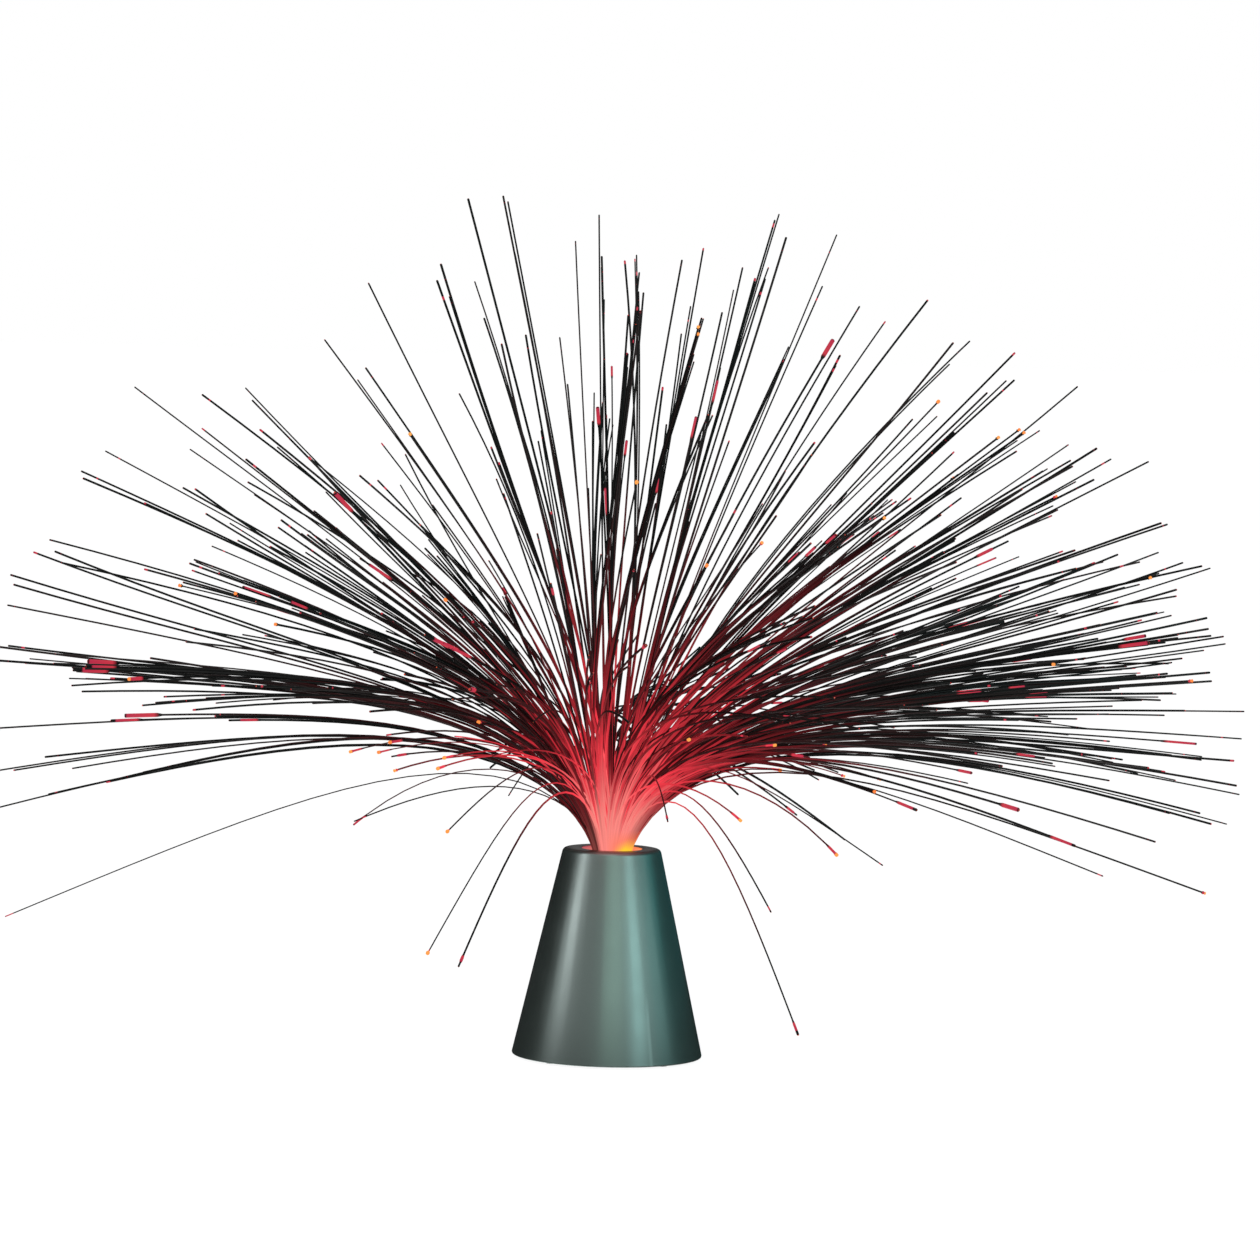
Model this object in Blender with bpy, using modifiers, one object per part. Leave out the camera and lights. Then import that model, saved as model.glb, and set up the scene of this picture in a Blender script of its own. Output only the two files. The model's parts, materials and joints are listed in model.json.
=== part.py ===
"""A battery fiber optic lamp: a tapered base with the light inside it and a spray of plastic fibres on top.

The lamp stands on the floor at z = 0, centred on the origin, with its front at -Y and up at +Z.
Lengths are in metres.
"""

import math
import random

import bmesh
import bpy
from mathutils import Vector

MM = 0.001
FULL_TURN = 2 * math.pi
QUARTER_TURN = math.pi / 2
FLAT_ANGLE = math.radians(1)
UP = Vector((0, 0, 1))
MERGE_DISTANCE = 0.01 * MM

# Clearances
GAP = 0.3 * MM
PLATE_GAP = 0.4 * MM
SLOT_GAP = 0.4 * MM
SHAFT_GAP = 0.3 * MM
CAPTIVE_GAP = 0.8 * MM
CUT_OVERRUN = 1.0 * MM
FUSE_DEPTH = 0.6 * MM

# Facets round the turned pieces
SHELL_SIDES = 46
RING_SIDES = 32
PLATE_SIDES = 44
CELL_SIDES = 16
SCREW_SIDES = 10
LED_SIDES = 12
PEG_SIDES = 12
ARC_POINTS = 4

# Heights of the base and of the plate that closes it
BASE_TOP_Z = 83.5 * MM
BASE_EDGE_Z = 0.9 * MM
PLATE_BOTTOM_Z = 1.2 * MM
PLATE_THICKNESS = 3.4 * MM
PLATE_TOP_Z = PLATE_BOTTOM_Z + PLATE_THICKNESS
PLATE_EDGE = 0.4 * MM
WALL = 2.0 * MM

# Battery cells, size AAA, three side by side
CELL_RADIUS = 5.25 * MM
CELL_LENGTH = 44.5 * MM
CELL_BUTTON_RADIUS = 1.9 * MM
CELL_BUTTON_HEIGHT = 0.8 * MM
CELL_EDGE = 0.5 * MM
CELL_GAP = 0.4 * MM
CELL_PITCH = 2 * CELL_RADIUS + CELL_GAP
CELL_COUNT = 3

# Contacts
CONTACT_THICKNESS = 0.5 * MM
CONTACT_HALF_WIDTH = 4.4 * MM
DIMPLE_RADIUS = 1.6 * MM
DIMPLE_HEIGHT = 0.6 * MM
SPRING_LENGTH = 4.0 * MM
SPRING_TURN_COUNT = 3
SPRING_POINT_COUNT = 8
SPRING_BIG_RADIUS = 3.4 * MM
SPRING_SMALL_RADIUS = 1.9 * MM
SPRING_WIRE_RADIUS = 0.3 * MM
TAB_HALF_WIDTH = 1.5 * MM
TAB_INSET_SHARE = 0.1
TAB_RISE = 1.8 * MM

# Battery tray in the base plate
DOOR_THICKNESS = 1.8 * MM
DOOR_TOP_Z = PLATE_BOTTOM_Z + DOOR_THICKNESS
DOOR_SEAT_Z = DOOR_TOP_Z + GAP
CELL_Z = DOOR_SEAT_Z + GAP + CELL_RADIUS
TRAY_HALF_LENGTH = (
    CELL_LENGTH + SPRING_LENGTH + DIMPLE_HEIGHT + 2 * CONTACT_THICKNESS + 5 * GAP
) / 2
TRAY_HALF_WIDTH = (CELL_COUNT - 1) * CELL_PITCH / 2 + CELL_RADIUS + GAP
TRAY_ROUND = 1.4 * MM
TRAY_WALL = 1.1 * MM
TRAY_CEILING_Z = CELL_Z + CELL_RADIUS + GAP
TRAY_ROOF_Z = TRAY_CEILING_Z + TRAY_WALL
TAB_TOP_Z = TRAY_ROOF_Z + TAB_RISE

# Battery door
DOOR_LEDGE = 1.6 * MM
DOOR_ROUND = 2.6 * MM
DOOR_HALF_LENGTH = TRAY_HALF_LENGTH + DOOR_LEDGE
DOOR_HALF_WIDTH = TRAY_HALF_WIDTH + DOOR_LEDGE
HINGE_SETBACK = 1.3 * MM
HINGE_X = -DOOR_HALF_LENGTH - HINGE_SETBACK
HINGE_Z = PLATE_BOTTOM_Z + DOOR_THICKNESS / 2
HINGE_TAB_Y = 9.0 * MM
HINGE_TAB_HALF_WIDTH = 2.5 * MM
HINGE_TAB_STEP = 0.15 * MM
HINGE_EDGE_STEP = 0.2 * MM
NOTCH_DEPTH = 1.4 * MM
EAR_HALF_WIDTH = 4.2 * MM
DOOR_SCREW_SETBACK = 2.9 * MM
DOOR_SCREW_X = DOOR_HALF_LENGTH + DOOR_SCREW_SETBACK
DOOR_BOSS_RADIUS = 3.0 * MM
DOOR_BOSS_HEIGHT = 4.4 * MM
GRIP_GROOVE_COUNT = 3
GRIP_GROOVE_PITCH = 2.2 * MM
GRIP_GROOVE_HALF_WIDTH = 6.0 * MM
GRIP_GROOVE_DEPTH = 0.5 * MM
GRIP_GROOVE_SETBACK = 5.0 * MM

# Screws
BASE_SCREW_HEAD_RADIUS = 2.6 * MM
BASE_SCREW_HEAD_HEIGHT = 1.5 * MM
BASE_SCREW_RADIUS = 1.3 * MM
BASE_SCREW_LENGTH = 11.0 * MM
DOOR_SCREW_HEAD_RADIUS = 2.0 * MM
DOOR_SCREW_HEAD_HEIGHT = 0.8 * MM
DOOR_SCREW_RADIUS = 1.0 * MM
DOOR_SCREW_LENGTH = 4.6 * MM
SWITCH_SCREW_HEAD_RADIUS = 1.2 * MM
SWITCH_SCREW_HEAD_HEIGHT = 0.9 * MM
SWITCH_SCREW_RADIUS = 0.5 * MM
SWITCH_SCREW_LENGTH = 3.4 * MM
HOLDER_SCREW_HEAD_RADIUS = 2.1 * MM
HOLDER_SCREW_HEAD_HEIGHT = 1.2 * MM
HOLDER_SCREW_RADIUS = 0.9 * MM
HOLDER_SCREW_LENGTH = 9.0 * MM
BOARD_SCREW_HEAD_RADIUS = 1.9 * MM
BOARD_SCREW_HEAD_HEIGHT = 1.1 * MM
BOARD_SCREW_RADIUS = 0.8 * MM
BOARD_SCREW_LENGTH = 5.6 * MM
SCREW_EDGE_SHARE = 0.3

# Slide switch, whose knob travels from its ON place to its OFF place
SWITCH_TRAVEL = 3.0 * MM
SWITCH_SETBACK = 7.6 * MM
SWITCH_Y = DOOR_HALF_WIDTH + SWITCH_SETBACK
SWITCH_BOTTOM_Z = PLATE_TOP_Z + GAP
SWITCH_HALF_LENGTH = 5.4 * MM
SWITCH_HALF_WIDTH = 3.2 * MM
SWITCH_HEIGHT = 5.6 * MM
SWITCH_EAR_LENGTH = 3.1 * MM
SWITCH_EAR_THICKNESS = 0.8 * MM
SWITCH_EAR_STEP = 0.1 * MM
SWITCH_SCREW_SETBACK = 1.6 * MM
SWITCH_SCREW_X = SWITCH_HALF_LENGTH + SWITCH_SCREW_SETBACK
SLIDER_HALF_LENGTH = 1.9 * MM
SLIDER_HALF_WIDTH = 1.3 * MM
SLIDER_BOTTOM_Z = 0.7 * MM
SLIDER_RISE = 2.4 * MM
SLIDER_TOP_Z = PLATE_TOP_Z + SLIDER_RISE
SLIDER_RIB_DEPTH = 0.3 * MM
SLIDER_RIB_COUNT = 3
SLOT_HALF_LENGTH = SLIDER_HALF_LENGTH + SWITCH_TRAVEL / 2 + SLOT_GAP
SLOT_HALF_WIDTH = SLIDER_HALF_WIDTH + SLOT_GAP
FINGER_WELL_MARGIN = 1.7 * MM
FINGER_WELL_DEPTH = 1.0 * MM
FINGER_WELL_ROUND = 1.5 * MM

# Mouth of the base, and the posts beside it that the light holder hangs from
MOUTH_RADIUS = 11.8 * MM
LIP_WALL = 1.6 * MM
LIP_DEPTH = 7.0 * MM
POST_RADIUS = 1.9 * MM
POST_SETBACK = 3.2 * MM
POST_RING = MOUTH_RADIUS + LIP_WALL + POST_SETBACK
POST_AZIMUTHS = (90, 270)

# Tapered base
SHOULDER_MARGIN = 0.9 * MM
SHOULDER_RADIUS = POST_RING + POST_RADIUS + SHOULDER_MARGIN
SHOULDER_ROUND = 1.8 * MM
EDGE_ROUND = 0.5 * MM
EAR_MARGIN = 1.5 * MM
TRAY_MARGIN = 1.0 * MM
SWITCH_MARGIN = 7.15 * MM


def needed_base_radius():
    """Radius at the foot that leaves room for the door's ear, the switch and the tray's corners."""
    ear_need = DOOR_SCREW_X + EAR_HALF_WIDTH + EAR_MARGIN + WALL
    switch_need = SWITCH_Y + SWITCH_HALF_WIDTH + SWITCH_MARGIN + WALL
    corner = math.hypot(TRAY_HALF_LENGTH - TRAY_ROUND, TRAY_HALF_WIDTH - TRAY_ROUND) + TRAY_ROUND + TRAY_WALL
    climb = (TRAY_ROOF_Z - BASE_EDGE_Z) / (BASE_TOP_Z - BASE_EDGE_Z)
    tray_need = (corner + TRAY_MARGIN + WALL - climb * SHOULDER_RADIUS) / (1 - climb)
    return max(ear_need, switch_need, tray_need)


BASE_RADIUS = needed_base_radius()
TAPER = math.atan((BASE_RADIUS - SHOULDER_RADIUS) / (BASE_TOP_Z - BASE_EDGE_Z))


def outer_radius(z):
    """Radius of the outside of the base at a height."""
    return BASE_RADIUS - (z - BASE_EDGE_Z) * math.tan(TAPER)


def inner_radius(z):
    """Radius of the inside of the base at a height."""
    return outer_radius(z) - WALL / math.cos(TAPER)


# Plate, the bosses that it is screwed to, and its feet
PLATE_RADIUS = inner_radius(PLATE_TOP_Z) - PLATE_GAP
BOSS_BOTTOM_Z = PLATE_TOP_Z + GAP
BOSS_RADIUS = 3.0 * MM
BOSS_HEIGHT = 15.0 * MM
BOSS_SETBACK = 5.4 * MM
BOSS_RING = PLATE_RADIUS - BOSS_SETBACK
BOSS_SWITCH_GAP = 0.9 * MM
BOSS_X = SWITCH_HALF_LENGTH + SWITCH_EAR_LENGTH + BOSS_SWITCH_GAP + BOSS_RADIUS
BOSS_AZIMUTH = math.degrees(math.acos(BOSS_X / BOSS_RING))
BOSS_AZIMUTHS = (BOSS_AZIMUTH, 180 - BOSS_AZIMUTH, 270)
RIB_THICKNESS = 1.4 * MM
FOOT_RADIUS = 3.0 * MM
FOOT_POCKET_DEPTH = 0.7 * MM
FOOT_EDGE = 0.4 * MM
FOOT_SETBACK = 4.0 * MM
FOOT_RING = PLATE_RADIUS - FOOT_SETBACK
FOOT_DOOR_GAP = 1.05 * MM
FOOT_AZIMUTH = math.degrees(math.asin((DOOR_HALF_WIDTH + FOOT_DOOR_GAP + FOOT_RADIUS) / FOOT_RING))
FOOT_AZIMUTHS = (FOOT_AZIMUTH, 180 - FOOT_AZIMUTH, 180 + FOOT_AZIMUTH, 360 - FOOT_AZIMUTH)

# Fibre bundle, its ferrule and the glowing collar round it
BUNDLE_RADIUS = 7.0 * MM
FERRULE_WALL = 1.0 * MM
FERRULE_BORE = BUNDLE_RADIUS + GAP
FERRULE_RADIUS = FERRULE_BORE + FERRULE_WALL
COLLAR_BORE = FERRULE_RADIUS + GAP
COLLAR_RADIUS = MOUTH_RADIUS - GAP
COLLAR_DEPTH = 1.9 * MM
COLLAR_TOP_Z = BASE_TOP_Z - COLLAR_DEPTH
COLLAR_DISH = 0.9 * MM
COLLAR_RIM = 0.7 * MM
FLANGE_OVERLAP = 0.8 * MM
FLANGE_THICKNESS = 2.4 * MM
FLANGE_RADIUS = MOUTH_RADIUS + LIP_WALL + FLANGE_OVERLAP
FLANGE_TOP_Z = BASE_TOP_Z - LIP_DEPTH - GAP
FLANGE_BOTTOM_Z = FLANGE_TOP_Z - FLANGE_THICKNESS

# Light holder
SLEEVE_HEIGHT = 5.8 * MM
SLEEVE_WALL = 3.8 * MM
SLEEVE_BORE = FERRULE_RADIUS + GAP
SLEEVE_RADIUS = SLEEVE_BORE + SLEEVE_WALL
SLEEVE_TOP_Z = FLANGE_BOTTOM_Z - GAP
HOLDER_TOP_Z = SLEEVE_TOP_Z - SLEEVE_HEIGHT
HOLDER_THICKNESS = 2.8 * MM
HOLDER_BOTTOM_Z = HOLDER_TOP_Z - HOLDER_THICKNESS
HOLDER_WALL_GAP = 1.2 * MM
HOLDER_RADIUS = inner_radius(HOLDER_TOP_Z) - HOLDER_WALL_GAP
SKIRT_DEPTH = 6.7 * MM
SKIRT_BOTTOM_Z = HOLDER_BOTTOM_Z - SKIRT_DEPTH
SKIRT_BORE = SLEEVE_RADIUS - WALL
FERRULE_OVERHANG = 0.4 * MM
FERRULE_BOTTOM_Z = HOLDER_BOTTOM_Z - FERRULE_OVERHANG
ROOT_RECESS = 1.2 * MM
ROOT_BOTTOM_Z = FERRULE_BOTTOM_Z + ROOT_RECESS
ROOT_DEPTH = 3.9 * MM
ROOT_TOP_Z = BASE_TOP_Z - ROOT_DEPTH

# Board and what it carries
BOARD_BOSS_RADIUS = 2.1 * MM
BOARD_BOSS_SETBACK = 2.4 * MM
BOARD_BOSS_RING = SLEEVE_RADIUS + BOARD_BOSS_SETBACK
BOARD_AZIMUTHS = (0, 180)
BOARD_THICKNESS = 1.6 * MM
BOARD_TOP_Z = SKIRT_BOTTOM_Z - GAP
BOARD_BOTTOM_Z = BOARD_TOP_Z - BOARD_THICKNESS
BOARD_MARGIN = 0.5 * MM
BOARD_RADIUS = BOARD_BOSS_RING + BOARD_BOSS_RADIUS + BOARD_MARGIN
LED_RADIUS = 1.5 * MM
LED_FLANGE_RADIUS = 1.8 * MM
LED_FLANGE_HEIGHT = 0.8 * MM
LED_HEIGHT = 5.2 * MM
LED_RING = 3.1 * MM
LED_AZIMUTHS = (90, 210, 330)
CHIP_LENGTH = 5.0 * MM
CHIP_WIDTH = 4.0 * MM
CHIP_HEIGHT = 1.5 * MM
CHIP_X = -1.5 * MM
CHIP_Y = 7.5 * MM

# Fibre spray. Leans and droops are in degrees from upright.
LONGEST_FIBRE = 270 * MM
SHORTEST_SHARE = 0.64
SHORTNESS_POWER = 2.2
FIBRE_ROOT_SIZE = 0.23 * MM
FIBRE_SIZE = 0.32 * MM
FIBRE_SWELL_LENGTH = 14 * MM
FIBRE_SIDES = 3
FIBRE_SUNK = 1.0 * MM
BEND_LENGTH = 36 * MM
START_LEAN_DEGREES = 15
DROOP_DEGREES = 27
LEAN_SPAN_DEGREES = 34
NEAR_SHARE = 0.45
FAR_SHARE = 0.95
ROUTE_STEP = 2 * MM
SPRAY_SEED = 11
JITTER_SHARE = 0.10
CELL_MARGIN = 0.41 * MM
SLICE_COUNT = 19
CENTRE_RADIUS = BUNDLE_RADIUS * math.sqrt(1 / SLICE_COUNT)
MIDDLE_RADIUS = BUNDLE_RADIUS * math.sqrt(7 / SLICE_COUNT)
ROW_COUNTS = (3, 4, 4, 5)

# Rings of upright fibres in the middle: each ring's radius as a share of the middle slice's, its count, and
# its lean in degrees
UPRIGHT_RING_SHARES = (0.28, 0.73)
UPRIGHT_RING_COUNTS = (3, 9)
UPRIGHT_RING_DEGREES = (4, 11)
# Lean from upright and azimuth in degrees of the middle of each bunch, anticlockwise from +X
INNER_BUNCHES = ((44, 0), (21, 49), (23, 93), (42, 191), (34, 236), (40, 315))
OUTER_BUNCHES = (
    (64, 2), (61, 25), (54, 49), (71, 71), (73, 93), (58, 120),
    (65, 191), (52, 242), (51, 267), (51, 296), (64, 318), (61, 340),
)
# Distances along a fibre where its section is drawn, besides its root and its end. They are the same for
# every fibre of a bunch, so that neighbours run side by side.
INNER_SECTIONS = (22 * MM, 84 * MM)
OUTER_SECTIONS = (22 * MM, 84 * MM, 150 * MM)

# Leads. Their hand-chosen points between the ends have x and y as shares of the room's radius at that height,
# and z as a share of the base's height.
LEAD_RADIUS = 0.6 * MM
LEAD_POINT_PITCH = 3.5 * MM
LEAD_RISE = 5 * MM
TERMINAL_X = 3.0 * MM
SWITCH_TERMINAL_Z = SWITCH_BOTTOM_Z + SWITCH_HEIGHT + GAP + LEAD_RADIUS
TAB_X = TRAY_HALF_LENGTH - GAP - CONTACT_THICKNESS / 2
TAB_LEAD_Z = TAB_TOP_Z + GAP + LEAD_RADIUS
BOARD_LEAD_X = 7 * MM
BOARD_LEAD_Y = 6 * MM
BOARD_LEAD_Z = BOARD_BOTTOM_Z - GAP
BATTERY_TO_SWITCH_SHARES = ((0.46, 0.20, 0.30), (0, 0.60, 0.25))
SWITCH_TO_BOARD_SHARES = ((0.21, 0.69, 0.37), (0.30, 0.42, 0.53))
BATTERY_TO_BOARD_SHARES = ((-0.50, 0.18, 0.44), (-0.35, -0.08, 0.55))


# Scene set-up


def cleared_scene():
    """Empties the scene and returns the collections for the lamp and for its cutters."""
    for obj in list(bpy.data.objects):
        bpy.data.objects.remove(obj)
    scene = bpy.context.scene
    lamp = bpy.data.collections.new("fiber_optic_lamp")
    tools = bpy.data.collections.new("tool_shapes")
    tools.hide_render = True
    scene.collection.children.link(lamp)
    scene.collection.children.link(tools)
    return lamp, tools


LAMP, TOOLS = cleared_scene()
COLOURS = {
    "satin_silver": ((0.42, 0.50, 0.48, 1), 0.85, 0.38),
    "dark_plastic": ((0.03, 0.035, 0.035, 1), 0.0, 0.5),
    "black_rubber": ((0.02, 0.02, 0.02, 1), 0.0, 0.8),
    "zinc_steel": ((0.62, 0.62, 0.6, 1), 1.0, 0.3),
    "nickel_contact": ((0.7, 0.68, 0.62, 1), 1.0, 0.25),
    "cell_jacket": ((0.05, 0.16, 0.30, 1), 0.3, 0.35),
    "white_plastic": ((0.8, 0.8, 0.78, 1), 0.0, 0.45),
    "board_green": ((0.02, 0.16, 0.07, 1), 0.0, 0.4),
    "clear_epoxy": ((0.9, 0.55, 0.5, 1), 0.0, 0.1),
    "frosted_red": ((0.9, 0.12, 0.06, 1), 0.0, 0.4),
    "wire_red": ((0.6, 0.02, 0.02, 1), 0.0, 0.5),
    "fibre_black": ((0.05, 0.03, 0.03, 1), 0.0, 0.3),
}


def material(name):
    """The Principled material of this name, made the first time it is asked for."""
    found = bpy.data.materials.get(name)
    if found:
        return found
    colour, metallic, roughness = COLOURS[name]
    made = bpy.data.materials.new(name)
    made.use_nodes = True
    shader = made.node_tree.nodes["Principled BSDF"]
    shader.inputs["Base Color"].default_value = colour
    shader.inputs["Metallic"].default_value = metallic
    shader.inputs["Roughness"].default_value = roughness
    return made


# Shape helpers


def linked(name, data, look):
    """A new object with its material, in the lamp, or among the tool shapes where it has none."""
    obj = bpy.data.objects.new(name, data)
    if look:
        data.materials.append(material(look))
        LAMP.objects.link(obj)
    else:
        obj.hide_render = True
        obj.display_type = "WIRE"
        TOOLS.objects.link(obj)
    return obj


def arc(centre_radius, centre_z, radius, start, end, points=ARC_POINTS):
    """Points of a profile's arc, with the angles in radians from +X towards +Z."""
    turns = [start + (end - start) * i / (points - 1) for i in range(points)]
    return [(centre_radius + radius * math.cos(t), centre_z + radius * math.sin(t)) for t in turns]


def turned(name, profile, look=None, sides=RING_SIDES, place=(0, 0), closed=False):
    """Turns a profile round a vertical axis. It runs down the outside, and a closed one makes a ring."""
    mesh = bpy.data.meshes.new(name)
    shape = bmesh.new()
    points = [shape.verts.new((radius, 0, z)) for radius, z in profile]
    for first, second in zip(points, points[1:]):
        shape.edges.new((first, second))
    if closed:
        shape.edges.new((points[-1], points[0]))
    shape.to_mesh(mesh)
    shape.free()
    obj = linked(name, mesh, look)
    obj.location = (*place, 0)
    screw = obj.modifiers.new("turn", "SCREW")
    screw.steps = screw.render_steps = sides
    screw.use_merge_vertices = True
    screw.merge_threshold = MERGE_DISTANCE
    screw.use_smooth_shade = True
    return obj


def cylinder_profile(radius, bottom, top, edge=0):
    """Outline of a solid cylinder, down its outside, with its edges eased where an edge is given."""
    if not edge:
        return [(0, top), (radius, top), (radius, bottom), (0, bottom)]
    return [
        (0, top), (radius - edge, top), (radius, top - edge),
        (radius, bottom + edge), (radius - edge, bottom), (0, bottom),
    ]


def rounded_rectangle(half_x, half_y, corner, centre=(0, 0)):
    """Corner-rounded outline, anticlockwise."""
    points = []
    for quarter, (sign_x, sign_y) in enumerate(((1, 1), (-1, 1), (-1, -1), (1, -1))):
        middle = (centre[0] + sign_x * (half_x - corner), centre[1] + sign_y * (half_y - corner))
        start = quarter * FULL_TURN / 4
        points += arc(*middle, corner, start, start + FULL_TURN / 4)
    return points


def slab(name, outline, bottom, top, look=None):
    """A flat outline drawn up into a solid between two heights."""
    curve = bpy.data.curves.new(name, "CURVE")
    curve.dimensions = "2D"
    curve.fill_mode = "BOTH"
    curve.extrude = (top - bottom) / 2
    spline = curve.splines.new("POLY")
    spline.points.add(len(outline) - 1)
    for point, (x, y) in zip(spline.points, outline):
        point.co = (x, y, 0, 1)
    spline.use_cyclic_u = True
    drawn = bpy.data.objects.new(name, curve)
    mesh = bpy.data.meshes.new_from_object(drawn)
    bpy.data.objects.remove(drawn)
    shape = bmesh.new()
    shape.from_mesh(mesh)
    bmesh.ops.remove_doubles(shape, verts=shape.verts, dist=MERGE_DISTANCE)
    bmesh.ops.dissolve_limit(shape, angle_limit=FLAT_ANGLE, verts=shape.verts, edges=shape.edges)
    bmesh.ops.translate(shape, verts=shape.verts, vec=(0, 0, (top + bottom) / 2))
    shape.to_mesh(mesh)
    shape.free()
    return linked(name, mesh, look)


def block(name, low, high, look=None):
    """A box between two corners."""
    low, high = Vector(low), Vector(high)
    mesh = bpy.data.meshes.new(name)
    shape = bmesh.new()
    bmesh.ops.create_cube(shape, size=1)
    bmesh.ops.scale(shape, vec=high - low, verts=shape.verts)
    bmesh.ops.translate(shape, vec=(low + high) / 2, verts=shape.verts)
    shape.to_mesh(mesh)
    shape.free()
    return linked(name, mesh, look)


def combine(target, operation, tools):
    """One Boolean step that takes all its tool shapes together."""
    group = bpy.data.collections.new(f"{target.name}_{operation.lower()}")
    TOOLS.children.link(group)
    for tool in tools:
        TOOLS.objects.unlink(tool)
        group.objects.link(tool)
    boolean = target.modifiers.new(operation.lower(), "BOOLEAN")
    boolean.operand_type = "COLLECTION"
    boolean.collection = group
    boolean.operation = operation
    boolean.solver = "EXACT"


def cut(target, *tools):
    combine(target, "DIFFERENCE", tools)


def fuse(target, *tools):
    combine(target, "UNION", tools)


def peg(name, place, radius, bottom, top):
    """An upright round tool shape, for a hole or a boss."""
    return turned(name, cylinder_profile(radius, bottom, top), sides=PEG_SIDES, place=place)


def polar(radius, azimuth):
    """A place on the floor plan, with the azimuth in degrees."""
    return radius * math.cos(math.radians(azimuth)), radius * math.sin(math.radians(azimuth))


def tube(name, points, radius, look, resolution):
    """A round wire along points, with closed ends."""
    curve = bpy.data.curves.new(name, "CURVE")
    curve.dimensions = "3D"
    curve.bevel_depth = radius
    curve.bevel_resolution = resolution
    curve.use_fill_caps = True
    spline = curve.splines.new("POLY")
    spline.points.add(len(points) - 1)
    for point, place in zip(spline.points, points):
        point.co = (*place, 1)
    return linked(name, curve, look)


def smooth_route(points, pitch):
    """Even points along a smooth curve through the given ones."""
    ends = [points[0], *points, points[-1]]
    knots = [Vector(point) for point in ends]
    route = []
    for before, start, end, after in zip(knots, knots[1:], knots[2:], knots[3:]):
        count = max(2, round((end - start).length / pitch))
        for i in range(count):
            t = i / count
            route.append(
                0.5 * (2 * start + (end - before) * t
                       + (2 * before - 5 * start + 4 * end - after) * t ** 2
                       + (3 * start - before - 3 * end + after) * t ** 3)
            )
    route.append(knots[-1])
    return route


def screw(name, place, head_bottom, head_radius, head_height, shank_radius, shank_length):
    """A screw that goes up from its head."""
    edge = head_height * SCREW_EDGE_SHARE
    shoulder = head_bottom + head_height
    tip = shoulder + shank_length
    profile = [
        (0, tip), (shank_radius, tip), (shank_radius, shoulder), (head_radius, shoulder),
        (head_radius, head_bottom + edge), (head_radius - edge, head_bottom), (0, head_bottom),
    ]
    return turned(name, profile, "zinc_steel", SCREW_SIDES, place)


# Base shell


def shell_profile():
    """Outline of the shell's wall: down the outside, up the inside, and round the lip of the mouth."""
    shoulder_z = BASE_TOP_Z - SHOULDER_ROUND
    shoulder_touch = shoulder_z + SHOULDER_ROUND * math.sin(TAPER)
    shoulder_radius = outer_radius(shoulder_touch) - SHOULDER_ROUND * math.cos(TAPER)
    edge_z = BASE_EDGE_Z + EDGE_ROUND
    edge_touch = edge_z + EDGE_ROUND * math.sin(TAPER)
    edge_radius = outer_radius(edge_touch) - EDGE_ROUND * math.cos(TAPER)
    ceiling = BASE_TOP_Z - WALL
    lip_z = BASE_TOP_Z - LIP_DEPTH
    return [
        *arc(shoulder_radius, shoulder_z, SHOULDER_ROUND, FULL_TURN / 4, TAPER, ARC_POINTS + 1),
        *arc(edge_radius, edge_z, EDGE_ROUND, TAPER, -FULL_TURN / 4),
        (inner_radius(BASE_EDGE_Z), BASE_EDGE_Z),
        (inner_radius(ceiling), ceiling),
        (MOUTH_RADIUS + LIP_WALL, ceiling),
        (MOUTH_RADIUS + LIP_WALL, lip_z),
        (MOUTH_RADIUS, lip_z),
        *arc(MOUTH_RADIUS + EDGE_ROUND, BASE_TOP_Z - EDGE_ROUND, EDGE_ROUND, FULL_TURN / 2, FULL_TURN / 4),
    ]


def extruded(name, outline, low, high, look=None):
    """A flat outline in X and Z drawn along Y into a solid."""
    mesh = bpy.data.meshes.new(name)
    shape = bmesh.new()
    near = [shape.verts.new((x, low, z)) for x, z in outline]
    far = [shape.verts.new((x, high, z)) for x, z in outline]
    shape.faces.new(near)
    shape.faces.new(far[::-1])
    for i in range(len(outline)):
        after = (i + 1) % len(outline)
        shape.faces.new((near[i], far[i], far[after], near[after]))
    bmesh.ops.recalc_face_normals(shape, faces=shape.faces)
    shape.to_mesh(mesh)
    shape.free()
    return linked(name, mesh, look)


def boss_rib(index, azimuth):
    """The rib that ties a screw boss to the tapered wall."""
    top = BOSS_BOTTOM_Z + BOSS_HEIGHT - FUSE_DEPTH
    bottom = BOSS_BOTTOM_Z + FUSE_DEPTH
    outline = [
        (BOSS_RING, bottom), (inner_radius(bottom) + FUSE_DEPTH, bottom),
        (inner_radius(top) + FUSE_DEPTH, top), (BOSS_RING, top),
    ]
    rib = extruded(f"rib_tool_{index}", outline, -RIB_THICKNESS / 2, RIB_THICKNESS / 2)
    rib.rotation_euler = (0, 0, math.radians(azimuth))
    return rib


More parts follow.
